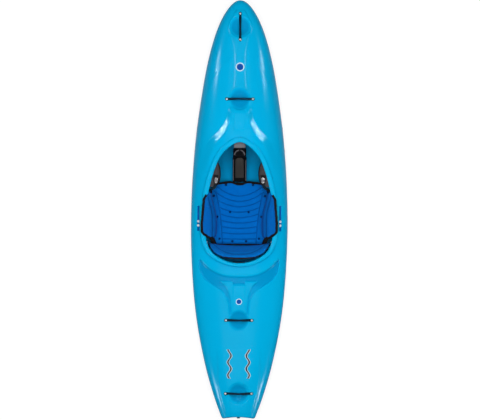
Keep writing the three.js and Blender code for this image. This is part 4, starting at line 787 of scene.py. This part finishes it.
def roundSection(across, up, steps=12):
    turn = np.arange(steps) * 2 * math.pi / steps
    return np.stack([across * np.cos(turn), up * np.sin(turn)], -1)


# grab loops: stiff webbing bowed over each recess, with round ends under their bolts
grabLoop = {"half": 0.084, "tab": 0.013, "width": 0.0165, "thickness": 0.0048, "lift": 0.024, "waist": 0.80}


def loopFace(name, u, v, top):
    reach = (grabLoop["half"] + grabLoop["tab"]) * (2 * u - 1)
    far = np.abs(reach)
    share = clamp01(far / (grabLoop["half"] - grabLoop["tab"]))
    end = clamp01((far - grabLoop["half"]) / grabLoop["tab"])
    off = grabLoop["width"] / 2 * np.sqrt(1 - end**2 * 0.93) * mix(grabLoop["waist"], 1, share) * (2 * v - 1)
    y = loopPlaces[name]
    x, y = (off, y + reach) if name == "bow" else (reach, y + off)
    bowed = deckHeight(x, y) + grabLoop["lift"] * (1 - smoothStep(share**1.3))
    z = mix(bowed, deckSurface(x, y) + 0.0004, smoothStep((far - dish["radius"]) / 0.010))
    return x, y, z + grabLoop["thickness"] * top


for name in loopPlaces:
    loop = wrapped(name + "GrabLoop", lambda u, v, top: loopFace(name, u, v, top), 73, 9)
    softEdges(loop, 0.0012, 2)
    dress(loop, "loop", name + "_grab_loop")

# bolts: button heads with a hexagon socket, on a washer, made once and set at each place
bolt = {
    "radius": 0.0066, "height": 0.0040, "washer": 0.0086, "socket": 0.0023, "shank": 0.003, "nut": 0.0058,
    "reach": 0.024,
}
r, h, washer, socket, shank, nut, reach = bolt.values()
boltRows = [
    (0, -reach), (nut, -reach), (nut, -0.0202), (shank, -0.020), (shank, -0.001), (washer * 0.99, -0.0004),
    (washer, 0.0002), (washer - 0.0003, 0.0007), (r, 0.0007), (r, h * 0.42), (r * 0.93, h * 0.66),
    (r * 0.78, h * 0.86), (r * 0.58, h * 0.97), (socket * 1.22, h), (socket, h * 0.96), (socket, h * 0.45),
    (0, h * 0.36),
]
masterBolt = turned("masterBolt", boltRows, 36, corners=(1, 2, 14, 15))
shaded(masterBolt, 40)


def boltEnds(nodeName):  # the two poles of a turned bolt node: its head's top, and its far end
    mesh = nodes[nodeName].data
    count = {}
    for edge in mesh.edges:
        for v in edge.vertices:
            at = mesh.vertices[v].co
            count.setdefault(tuple(round(c * 2e4) for c in at), [0, at.copy()])[0] += 1
    ends = [at for _, at in sorted(count.values(), key=lambda item: -item[0])[:2]]
    ways = {"track": lambda p: -abs(p.x), "pivot": lambda p: abs(p.x)}
    return sorted(ends, key=next((way for word, way in ways.items() if word in nodeName), lambda p: -p.z))


boltNames = sorted(name for name in nodes if "_bolt" in name)
for nodeName in boltNames:
    top, far = boltEnds(nodeName)
    way = (top - far).normalized()
    base = top - way * bolt["height"]
    if "_loop_" in nodeName:
        base.z = max(base.z, deckSurface(np.array([base.x]), np.array([base.y]))[0] + grabLoop["thickness"])
    words = nodeName.split("_")
    piece = duplicate(masterBolt, words[0] + "".join(w.title() for w in words[1:]))
    for v in piece.data.vertices:
        if v.co.z < -0.002:
            v.co.z += bolt["reach"] - (base - far).length
    piece.data.transform(standing(base, way))
    dress(piece, "steel", nodeName)
    if "_loop_" in nodeName:  # the loop's round black end cap under the bolt
        capRows = [(0.0100, 0.0002), (0.0104, 0.0010), (0.0098, 0.0018), (0.0066, 0.0020), (0.004, 0.0020)]
        capRows = [(0.004, 0.0002)] + capRows + [(0.004, 0.0002)]
        dress(turned(piece.name + "Cap", capRows, 36, base - way * 0.0006, way), "rubber")
bpy.data.objects.remove(masterBolt)
print("bolts set:", len(boltNames))


def middleOf(nodeName):
    low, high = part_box(nodeName)
    return [(a + b) / 2 for a, b in zip(low, high)]


# drain plug: knurled round head with a finger bar, on its gasket
low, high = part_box("drain_plug")
plugX, _, plugZ = middleOf("drain_plug")
head = (high[0] - low[0]) / 2
plugLength = high[1] - low[1]
knurled = {"share": 0.03, "ridges": 24, "rows": range(8, 12)}
plugRows = [  # radius and distance from the thread's end
    (0, 0), (0.0078, 0), (0.0085, 0.0016), (0.0080, 0.0030), (0.0085, 0.0044), (0.0080, 0.0058), (0.0085, 0.0072),
    (0.0085, plugLength - 0.0125), (head * 0.97, plugLength - 0.0125), (head, plugLength - 0.0115),
    (head, plugLength - 0.0080), (head * 0.93, plugLength - 0.0068), (head * 0.55, plugLength - 0.0064),
    (0, plugLength - 0.0064),
]
turn = np.arange(97) % 96 * 2 * math.pi / 96
points = []
for i, (radius, height) in enumerate(plugRows):
    r = radius * (1 - knurled["share"] * (np.cos(turn * knurled["ridges"]) > 0) * (i in knurled["rows"]))
    points.append(np.stack([plugX + r * np.cos(turn), high[1] - height + 0 * turn, plugZ + r * np.sin(turn)], -1))
plugHead = closedBody(gridPiece("drainPlugHead", np.array(points)))
bar = primitive(
    bpy.ops.mesh.primitive_cube_add, (plugX, low[1] + 0.0036, plugZ), (head * 1.55, 0.0072, 0.0050), size=1
)
softEdges(bar, 0.0014)
drainPlug = joinAll("drainPlug", plugHead, bar)
shaded(drainPlug, 35)
dress(drainPlug, "blackPlastic", "drain_plug", "plug")
low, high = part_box("plug_gasket")
deep, out = high[1] - low[1], (high[0] - low[0]) / 2
gasketRows = [
    (0.0095, 0.0001), (out - 0.0006, 0), (out, deep * 0.3), (out, deep * 0.7), (out - 0.0006, deep),
    (0.0095, deep), (0.0095, 0.0001),
]
x, _, z = middleOf("plug_gasket")
dress(turned("plugGasket", gasketRows, 64, (x, high[1], z), (0, -1, 0)), "rubber", "plug_gasket", "gasket")

# centre console: a hump that slopes down to the seat's nose, with a raised rail down each side
console = {
    "front": 0.348, "rear": 0.188, "half": 0.046, "frontHeight": 0.172, "rearHeight": 0.074, "rail": 0.007,
    "railInner": 0.0362, "railTop": 0.040, "slabHalf": 0.0285, "slabFront": 0.344, "slabRear": 0.212,
    "slabThickness": 0.011,
}
floorGap = 0.0075  # from the hull's outer face to the underside of what stands in it


def consoleTop(y):
    u = (console["front"] - y) / (console["front"] - console["rear"])
    return mix(console["frontHeight"], console["rearHeight"], smoothStep(u) * 0.4 + u * 0.6)


def consoleFace(u, v, top):
    y = mix(console["front"], console["rear"], u)
    x = console["half"] * (2 * v - 1)
    side = np.abs(x)
    rounded = np.sqrt(clamp01(1 - clamp01((side - console["railTop"]) / 0.006) ** 2.5))
    rail = console["rail"] * smoothStep((side - console["railInner"]) / 0.003) * rounded
    low = floorHeight(x, y) + floorGap
    return x, y, np.maximum(consoleTop(y) - 0.003 * (side > 0.0455) + rail, low + 0.002) if top else low


centreConsole = wrapped("centreConsole", consoleFace, 41, 93)
softEdges(centreConsole, 0.002, 3, 50)
dress(centreConsole, "darkPlastic", "center_console")
for side, name in ((-1, "left"), (1, "right")):  # pale grey line along each rail, a painted highlight on the rail tops
    y = np.linspace(0.330, 0.194, 41)
    line = np.stack([0 * y + side * 0.0412, y, consoleTop(y) + console["rail"] + 0.0002], -1)
    dress(swept(name + "ConsoleRail", line, roundSection(0.0020, 0.0010)), "greyPlastic", "center_console")

# bracket over the console: an arched block with a ribbed edge and an eyelet for tying gear
bracket = {
    "front": 0.404, "rear": 0.350, "half": 0.043, "top": 0.232, "arch": 0.026, "scoop": 0.012, "scoopHalf": 0.033,
    "rib": 0.0040, "ribHalf": 0.034, "ribRear": 0.356, "ribReach": 0.036, "eye": 0.015, "eyeAt": 0.381, "tube": 0.004,
}


def archTop(x):
    return bracket["top"] - bracket["arch"] * (np.abs(x) / bracket["half"]) ** 3


def bracketFace(u, v, top):
    y = mix(bracket["front"], bracket["rear"], u)
    x = bracket["half"] * (2 * v - 1)
    scoop = bracket["scoop"] * smoothStep((u - 0.45) / 0.5) * clamp01(1 - (x / bracket["scoopHalf"]) ** 2) ** 0.5
    return x, y, archTop(x) - scoop if top else floorHeight(x, y) + floorGap


block = wrapped("bracketBlock", bracketFace, 25, 41)
softEdges(block, 0.003, 3, 50)
turn = np.linspace(math.pi * 0.04, math.pi * 0.96, 33)
x = bracket["ribHalf"] * np.cos(turn)
arc = np.stack([x, bracket["ribRear"] + bracket["ribReach"] * np.sin(turn), archTop(x) + 0.0004], -1)
rib = swept("bracketRib", arc, roundSection(bracket["rib"], bracket["rib"] * 0.8))
turn = np.arange(40) * 2 * math.pi / 40
y = bracket["eyeAt"] + bracket["eye"] * np.cos(turn)
arc = np.stack([0 * turn, y, bracket["top"] + 0.004 + bracket["eye"] * np.sin(turn)], -1)
eye = swept("bracketEye", arc, roundSection(bracket["tube"], bracket["tube"]), closed=True)
pillarBracket = joinAll("pillarBracket", block, eye)
shaded(pillarBracket, 40)
dress(pillarBracket, "darkPlastic", "pillar_bracket")
dress(rib, "greyPlastic", "pillar_bracket")

# foam pillars: sawn blocks whose corners have worn round, the front one with a ledge under the bracket
pillars = {
    "front": {"front": 0.760, "rear": 0.405, "half": 0.037, "finish": "greyFoam"},
    "rear": {"front": -0.346, "rear": -0.880, "half": 0.042, "finish": "blackFoam"},
}
ledge = {"front": 0.4385, "top": deckHeight(0.0, 0.440) - 0.0145}


def pillarFace(name, u, v, top):
    size = pillars[name]
    y = mix(size["front"], size["rear"], u)
    x = size["half"] * (2 * v - 1)
    roof = deckHeight(x, y) - hull["wall"] - 0.0008 + np.minimum(deckDetail(x, y), 0)
    if name == "front":
        roof = np.where(y < ledge["front"], np.minimum(roof, ledge["top"]), roof)
    return x, y, roof if top else floorHeight(x, y) + floorGap


for name, size in pillars.items():
    pillar = wrapped(name + "Pillar", lambda u, v, top: pillarFace(name, u, v, top), 62, 9)
    softEdges(pillar, 0.0025, 3, 50)
    dress(pillar, size["finish"], name + "_pillar")

# thigh braces: glossy moulded fins that hang from under the rim, with a rolled inner edge
brace = {"front": 0.322, "rear": 0.150, "inner": 0.1252, "flange": 0.009, "thickness": 0.005, "hook": 0.034}
braceInnerRows = [
    [0.150, 0.147], [0.165, 0.139], [0.185, 0.131], [0.210, 0.1265], [0.237, 0.1252], [0.265, 0.127],
    [0.295, 0.134], [0.322, 0.146],
]


def braceOuter(y):
    down = clamp01((rim["front"] - y) / rim["length"])
    return rimOuter(np.arccos(1 - 2 * down) / (2 * math.pi))[..., 0] + brace["flange"]


def braceFace(u, v, drop):
    y = mix(brace["front"], brace["rear"], u)
    outer = braceOuter(y)
    pinch = 1 - np.sqrt(1 - (2 * u - 1) ** 4 * 0.85)
    x = mix(mix(curveThrough(braceInnerRows, y), outer, pinch * 0.25), outer, v)
    rigid = outer - brace["flange"] * 3
    hook = brace["hook"] * clamp01((rigid - x) / (rigid - brace["inner"])) ** 2.2
    lip = 0.0022 * (1 - smoothStep(v / 0.08))
    return x, y, deckHeight(np.maximum(x, brace["inner"]), y) - hull["wall"] - hook - drop + lip


plate = wrapped("bracePlate", lambda u, v, top: braceFace(u, v, 0.0004 if top else brace["thickness"]), 49, 33)
low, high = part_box("right_ratchet_base")  # the boss under the ratchet's base
x, y, _ = middleOf("right_ratchet_base")
bossSize = (high[0] - low[0], high[1] - low[1], 0.0202)
boss = primitive(bpy.ops.mesh.primitive_cube_add, (x, y, low[2] - 0.0104), bossSize, size=1)
softEdges(boss, 0.002)
softEdges(plate, 0.0018, 3, 50)
edgeLine = np.stack(braceFace(np.linspace(0.01, 0.99, 41), 0.012, -0.0008), -1)
edgeRoll = swept("rightBraceEdge", edgeLine, roundSection(0.0034, 0.0026))
rightBrace = joinAll("rightThighBrace", plate, boss)
shaded(rightBrace, 45)
for part, name, finish in ((rightBrace, "ThighBrace", "glossPlastic"), (edgeRoll, "BraceEdge", "darkPlastic")):
    dress(mirrorCopy(part, "left" + name), finish, "left_thigh_brace")
    dress(part, finish, "right_thigh_brace")

# parts that keep the frame's shape and gain rounded edges, and the polished dome on each ratchet's lever
copies = [  # piece, node, width and segments of its edges, finish, body
    ("seatPan", "seat_pan", 0.0015, 2, "blackPlastic", "boat"),
    ("bandCore", "back_band_core", 0.001, 2, "blackPlastic", "back_band"),
    ("footPlate", "foot_bulkhead", 0.0015, 3, "aluminium", "foot_brace"),
]
for side in ("left", "right"):
    copies += [
        (side + "RatchetBase", side + "_ratchet_base", 0.0008, 2, "blackPlastic", "boat"),
        (side + "RatchetArm", side + "_ratchet_lever", 0.0012, 3, "blackPlastic", side + "_lever"),
        (side + "SeatBracket", side + "_seat_bracket", 0.0008, 2, "aluminium", "boat"),
        (side + "FootTrack", side + "_foot_track", 0.0008, 2, "aluminium", "boat"),
        (side + "FootArm", side + "_foot_arm", 0.0008, 2, "aluminium", "foot_brace"),
    ]
    x, y, _ = middleOf(side + "_ratchet_lever")
    domeAt = (x, y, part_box(side + "_ratchet_lever")[1][2] - 0.001)
    domeHalf = (0.0105, 0.0210, 0.0060)
    dome = primitive(bpy.ops.mesh.primitive_uv_sphere_add, domeAt, domeHalf, segments=48, ring_count=32)
    bpy.ops.object.shade_smooth()
    dome.name = dome.data.name = side + "RatchetLever"
    dress(dome, "polishedSteel", side + "_ratchet_lever", side + "_lever")
    bandStrap = fromFrame(side + "BandStrap", side + "_band_strap")
    modified(bandStrap, "SUBSURF", subdivision_type="SIMPLE", levels=1, render_levels=1)
    softEdges(bandStrap, 0.0007, 2, 40)
    dress(bandStrap, "strap", side + "_band_strap")
for name, nodeName, width, segments, finish, body in copies:
    piece = fromFrame(name, nodeName)
    softEdges(piece, width, segments)
    dress(piece, finish, nodeName, body)
print("fittings done")


# soft goods
def swell(piece, pressure, cap):  # cloth under pressure, with each point kept near its start
    start = pointsOf(piece)
    pick(piece)
    cloth = piece.modifiers.new("Cloth", "CLOTH")
    cloth.settings.quality = 4
    cloth.settings.use_pressure = True
    cloth.settings.uniform_pressure_force = pressure
    cloth.settings.tension_stiffness = cloth.settings.compression_stiffness = 25
    cloth.settings.bending_stiffness = 0.6
    cloth.settings.effector_weights.gravity = 0
    cloth.collision_settings.use_collision = False
    cloth.collision_settings.use_self_collision = False
    steps = 20
    cloth.point_cache.frame_start, cloth.point_cache.frame_end = 1, steps
    for step in range(1, steps + 1):
        bpy.context.scene.frame_set(step)
    bpy.ops.object.modifier_apply(modifier="Cloth")
    bpy.context.scene.frame_set(1)
    move = pointsOf(piece) - start
    far = np.linalg.norm(move, axis=1, keepdims=True)
    move *= np.minimum(1, cap / np.maximum(far, 1e-9))
    piece.data.vertices.foreach_set("co", (start + move).reshape(-1))
    piece.data.update()


def inflated(piece, voxel, shrink, pressure, cap):
    if shrink:
        modified(piece, "DISPLACE", strength=-shrink, mid_level=0)
    modified(piece, "REMESH", mode="VOXEL", voxel_size=voxel)
    swell(piece, pressure, cap)
    modified(piece, "SUBSURF", levels=1, render_levels=1)
    pick(piece)
    bpy.ops.object.shade_smooth()
    return piece


def reshaped(piece, fn):  # moves all points by a function of their places, which also says how near a seam each is, as the weight of the painted crease shade
    moved, sewn = fn(pointsOf(piece), pointsOf(piece, "normal"))
    piece.data.vertices.foreach_set("co", moved.reshape(-1))
    piece.data.attributes.new("sewn", "FLOAT", "POINT").data.foreach_set("value", clamp01(sewn))
    piece.data.update()


def crease(off, width):
    return np.exp(-((off / width) ** 2))


# seat pad: shaped foam under stretch cloth, with curved sewn channels, side seams and tied buttons
seat = {
    "front": 0.182, "rear": -0.235, "halfWidth": 0.2211, "height": 0.036, "sideRise": 0.058, "noseRise": 0.018,
    "noseLength": 0.130, "padFront": 0.178, "padRear": -0.231, "padHalf": 0.1898, "thickness": 0.0155,
    "channel": 0.0924, "channels": 8, "pitch": 0.0361, "bow": 0.059, "bowLess": 0.0066, "bowHalf": 0.146,
    "groove": 0.0050, "grooveHalf": 0.0042,
}
seatFlareShares = [[0, 0.75], [0.05, 0.86], [0.1, 0.95], [0.2, 1], [0.4, 1], [0.75, 0.97], [1, 0.8]]
seatSeamRows = [[-0.22, 0.112], [-0.16, 0.115], [-0.07, 0.122], [0.015, 0.134], [0.095, 0.152], [0.12, 0.160]]
seatFrontRows = [
    [0, -0.008], [0.02, -0.005], [0.045, 0.004], [0.065, 0.007], [0.10, 0.003], [0.135, -0.003], [0.2, -0.003],
]
seatButtons = [(0.062, -0.014), (0.090, 0.166), (0.170, 0.092), (0.148, -0.047), (0.131, -0.193), (0.046, -0.209)]


def panTop(x, y):
    across = np.abs(x) / seat["halfWidth"]
    nose = clamp01((y - seat["front"] + seat["noseLength"]) / seat["noseLength"])
    return seat["height"] + seat["sideRise"] * across**2 + seat["noseRise"] * nose**2 * (1 - across**2)


def seatFace(u, v, top):
    start = mix(seat["padFront"], seat["padRear"], u)
    w = 2 * v - 1
    down = (seat["front"] - start) / (seat["front"] - seat["rear"])
    x = seat["padHalf"] * curveThrough(seatFlareShares, down) * w
    y = start + curveThrough(seatFrontRows, np.abs(x)) * (1 - u) ** 6
    edge = np.sqrt(1 - 0.55 * np.abs(w) ** 12) * np.sqrt(1 - 0.55 * np.abs(2 * u - 1) ** 24)
    return x, y, panTop(x, y) + 0.0012 + seat["thickness"] * edge * top


def sewSeat(co, normal):
    x, y, z = co.T
    far = np.abs(x)
    q = (x / seat["bowHalf"]) ** 2
    spacing = seat["pitch"] + seat["bowLess"] * q
    row = (seat["channel"] + seat["bow"] * q - y) / spacing
    off = np.abs(row - np.clip(np.round(row), 0, seat["channels"])) * spacing
    seam = curveThrough(seatSeamRows, y)
    sink = crease(off, seat["grooveHalf"]) * smoothStep((seam - far) / 0.006 + 0.3)
    sink = np.maximum(sink, crease(far - seam, seat["grooveHalf"]) * smoothStep((0.135 - y) / 0.02))
    for bx, by in seatButtons:
        sink = np.maximum(sink, 1.3 * crease(np.hypot(far - bx, y - by), 0.010))
    up = smoothStep((normal[:, 2] - 0.3) / 0.4)
    return np.stack([x, y, np.maximum(z - seat["groove"] * sink * up, panTop(x, y) + 0.0006)], -1), sink**2 * up


seatPad = inflated(wrapped("seatPad", seatFace, 90, 80), 0.0045, 0, 4, 0.004)
reshaped(seatPad, sewSeat)
dress(seatPad, "seatCloth", "seat_pad")


def topAt(piece, x, y):  # highest point of a piece over a place of the plan
    hit, at, normal, _ = piece.ray_cast(Vector((x, y, 1.0)), Vector((0, 0, -1)))
    return (at, normal) if hit else (None, None)


def evened(points, reach):  # a path with its small steps smoothed out
    points = np.array(points, float)
    padded = [np.pad(points[:, k], reach, mode="edge") for k in range(3)]
    return np.stack([np.convolve(p, np.ones(2 * reach + 1) / (2 * reach + 1), "valid") for p in padded], -1)


buttonRows = [
    (0, -0.002), (0.0078, -0.001), (0.0092, 0.0008), (0.0078, 0.0024), (0.0044, 0.0031), (0.0022, 0.0019),
    (0, 0.0016),
]
buttonPlaces = [topAt(seatPad, side * x, y) for x, y in seatButtons for side in (-1, 1)]
buttons = [turned("seatButton", buttonRows, 20, at, normal) for at, normal in buttonPlaces]
seatButtonSet = joinAll("seatButtons", *buttons)
bpy.ops.object.shade_smooth()
dress(seatButtonSet, "button", "seat_pad")

# thick piping round the seat pad's front edge
edge = []
for x in np.linspace(-0.150, 0.150, 101):
    for y in np.linspace(0.200, 0.100, 401):
        at, normal = topAt(seatPad, x, y)
        if at is not None and normal.z > 0.2:
            edge.append((x, at.y + 0.0016, at.z - 0.0012))
            break
dress(swept("seatPiping", evened(edge, 4), roundSection(0.0095, 0.0062)), "binding", "seat_pad")

# hip pads: thick blocks whose tops lap out over the rim, bound along the outer edge
hipLines = {
    "seam": 0.176, "sweep": 0.030, "crease": 0.0034, "creaseHalf": 0.0042, "aside": 0.0045, "front": 0.121,
    "inner": 0.162,
}
rightHip = inflated(fromFrame("rightHipPad", "right_hip_pad"), 0.004, 0.001, 4, 0.006)


def sewHip(co, normal):
    line = hipLines["seam"] + hipLines["sweep"] * smoothStep((co[:, 1] + 0.05) / 0.16)
    sewn = crease(co[:, 0] - line, hipLines["creaseHalf"]) * smoothStep((normal[:, 2] - 0.1) / 0.4)
    return co - sewn[:, None] * (0, 0, hipLines["crease"]), sewn


reshaped(rightHip, sewHip)
low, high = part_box("right_hip_pad")


def hipOuter(y):  # outermost point of the pad's top at a place along it
    for x in np.linspace(0.290, 0.140, 301):
        at, normal = topAt(rightHip, x, y)
        if at is not None and normal.z > 0.35 and at.z > 0.20:
            return at
    return None


hipEdge = [hipOuter(y) for y in np.linspace(high[1] - 0.003, low[1] + 0.003, 121)]
hipEdge = [at for at in hipEdge if at is not None and at.z > 0.25]  # the part that laps over the rim
rimRun = np.linspace(0.10, 0.40, 241)
alongRim = []
for x, y in rimPoint(rimRun, lipWidth(rimRun) + hipLines["aside"]):  # round the front, where the pad meets the rim
    at, normal = topAt(rightHip, x, y)
    if hipEdge[0].y + 0.006 < y < hipLines["front"] and at is not None:
        alongRim.append(Vector((x, y, at.z)))
rear, rearRun = hipEdge[-1], []
for x in np.linspace(hipLines["inner"], rear.x, 14)[:-1]:
    at, normal = topAt(rightHip, x, rear.y)
    rearRun.append(at if at is not None else Vector((x, rear.y, rear.z)))
path = [(p.x + 0.0028, p.y, p.z + 0.0004) for p in alongRim + hipEdge + rearRun[::-1]]
rightBinding = swept("rightHipBinding", evened(path, 5), roundSection(0.0088, 0.0056))
leftHip = mirrorCopy(rightHip, "leftHipPad")
leftBinding = mirrorCopy(rightBinding, "leftHipBinding")
for side, hip, binding in (("left", leftHip, leftBinding), ("right", rightHip, rightBinding)):
    dress(hip, "hipCloth", side + "_hip_pad")
    dress(binding, "binding", side + "_hip_pad")

# back band: padded sheet with a seam below its top edge
backBand = inflated(fromFrame("backBandPad", "back_band_pad"), 0.004, 0.001, 4, 0.005)
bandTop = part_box("back_band_pad")[1][2]
bandSeam = {"below": 0.020, "sag": 0.10, "half": 0.19, "crease": 0.0032, "creaseHalf": 0.0045}


def sewBand(co, normal):
    level = bandTop - bandSeam["below"] - bandSeam["sag"] * (np.abs(co[:, 0]) / bandSeam["half"]) ** 3
    sewn = crease(co[:, 2] - level, bandSeam["creaseHalf"]) * smoothStep((normal[:, 1] + 0.1) / 0.5)
    return co - normal * bandSeam["crease"] * sewn[:, None], sewn


reshaped(backBand, sewBand)
dress(backBand, "bandCloth", "back_band_pad", "back_band")

# closed-cell foam pads
for side in ("left", "right"):
    thighPad = inflated(fromFrame(side + "ThighPad", side + "_thigh_pad"), 0.003, 0, 2, 0.0008)
    dress(thighPad, "blackFoam", side + "_thigh_pad")
footPad = inflated(fromFrame("footPad", "foot_pad"), 0.006, 0, 2, 0.002)
dress(footPad, "blackFoam", "foot_pad", "foot_brace")


def slabFace(u, v, top):
    y = mix(console["slabFront"], console["slabRear"], u)
    w = 2 * v - 1
    x = console["slabHalf"] * w * np.sqrt(1 - clamp01(1 - u * 5) ** 2 * 0.8)
    edge = 0.0016 * (smoothStep((np.abs(w) - 0.80) / 0.06) - smoothStep((np.abs(w) - 0.92) / 0.06))
    thickness = console["slabThickness"] * (1 - 0.35 * w**4) + edge
    return x, y, consoleTop(y) + 0.0006 + thickness * top


consolePad = wrapped("consolePad", slabFace, 61, 49)
softEdges(consolePad, 0.0018, 3, 50)
dress(consolePad, "slabFoam", "console_pad")
print("soft goods done")


# floor, light and camera
floorGlow, roomGlow = 0.84, 0.12


def studioFloor():
    # pale paper sweep: white to the camera, and still showing the boat's soft shadow
    m, place = newMaterial("paleStudioPaper")
    seen = addNode(m, "LightPath", {}, "Is Camera Ray")
    for ray in ("Is Glossy Ray", "Is Transmission Ray"):
        seen = addNode(m, "Math", {0: seen, 1: addNode(m, "LightPath", {}, ray)}, operation="MAXIMUM")
    paper = addNode(m, "TexNoise", {"Vector": place, "Scale": 1 / 0.002})
    tone = addNode(m, "Mix", {0: paper, 6: "#8E8E8E", 7: "#929292"}, 2, data_type="RGBA")
    matt = addNode(m, "BsdfDiffuse", {"Color": tone})
    strength = addNode(m, "Math", {0: seen, 1: floorGlow}, operation="MULTIPLY")
    glow = addNode(m, "Emission", {"Color": "#FFFFFF", "Strength": strength})
    addNode(m, "OutputMaterial", {"Surface": addNode(m, "AddShader", {0: matt, 1: glow})})
    return m


floor = primitive(bpy.ops.mesh.primitive_plane_add, (0, 0, -0.0005), size=24)
floor.name = "studioFloor"
floor.data.materials.append(studioFloor())

lamps = {  # the broad one only fills, and the small ones only make the highlights
    "overhead": {"at": (0.0, 0.1, 4.6), "size": (2.4, 4.0), "power": 193, "aim": (0, 0.1, 0.25)},
    "left": {"at": (-3.35, 1.66, 2.95), "size": (0.5, 0.9), "power": 52, "aim": (0, 0.5, 0.3)},
    "right": {"at": (3.35, 1.66, 2.95), "size": (0.5, 0.9), "power": 52, "aim": (0, 0.5, 0.3)},
    "leftCollar": {"at": (-3.45, 1.68, 2.95), "size": (0.5, 1.2), "power": 1.2, "aim": (-0.13, 0.46, 0.3)},
    "rightCollar": {"at": (3.45, 1.68, 2.95), "size": (0.5, 1.2), "power": 1.2, "aim": (0.13, 0.46, 0.3)},
    "rearLeft": {"at": (-4.0, -2.6, 2.9), "size": (0.5, 0.9), "power": 110, "aim": (0, -1.0, 0.3)},
    "rearRight": {"at": (4.0, -2.6, 2.9), "size": (0.5, 0.9), "power": 110, "aim": (0, -1.0, 0.3)},
}
narrow, wide = math.radians(12), math.radians(180)
for name, lamp in lamps.items():
    at = Vector(lamp["at"])
    bpy.ops.object.light_add(type="AREA", location=at)
    lampObject = bpy.context.object
    lampObject.name = name + "Softbox"
    lampObject.data.shape = "RECTANGLE"
    lampObject.data.size, lampObject.data.size_y = lamp["size"]
    lampObject.data.energy = lamp["power"]
    lampObject.data.spread = narrow if "Collar" in name else wide
    lampObject.visible_glossy = name != "overhead"
    lampObject.visible_diffuse = name == "overhead"
    lampObject.rotation_euler = (Vector(lamp["aim"]) - at).to_track_quat("-Z", "Y").to_euler()

world = bpy.data.worlds.new("paleRoom")
bpy.context.scene.world = world
world.use_nodes = True
world.node_tree.nodes["Background"].inputs["Color"].default_value = (0.92, 0.95, 1.0, 1)
world.node_tree.nodes["Background"].inputs["Strength"].default_value = roomGlow

view = {  # fitted to the photo; the sensor is in millimetres
    "height": 12.0, "across": 0.0042, "along": -0.0010, "turn": 0.285, "frameWidth": 3.147, "focusHeight": 0.25,
    "sensor": 36,
}
camera = bpy.data.objects.new("photoCamera", bpy.data.cameras.new("photoCamera"))
bpy.context.scene.collection.objects.link(camera)
camera.location = (view["across"], view["along"], view["height"])
camera.rotation_euler = (0, 0, math.radians(view["turn"]))
camera.data.sensor_width = view["sensor"]
camera.data.lens = view["sensor"] * (view["height"] - view["focusHeight"]) / view["frameWidth"]
camera.data.clip_end = 40
bpy.context.scene.camera = camera

bpy.context.scene.view_settings.view_transform = "Standard"
print("scene ready")
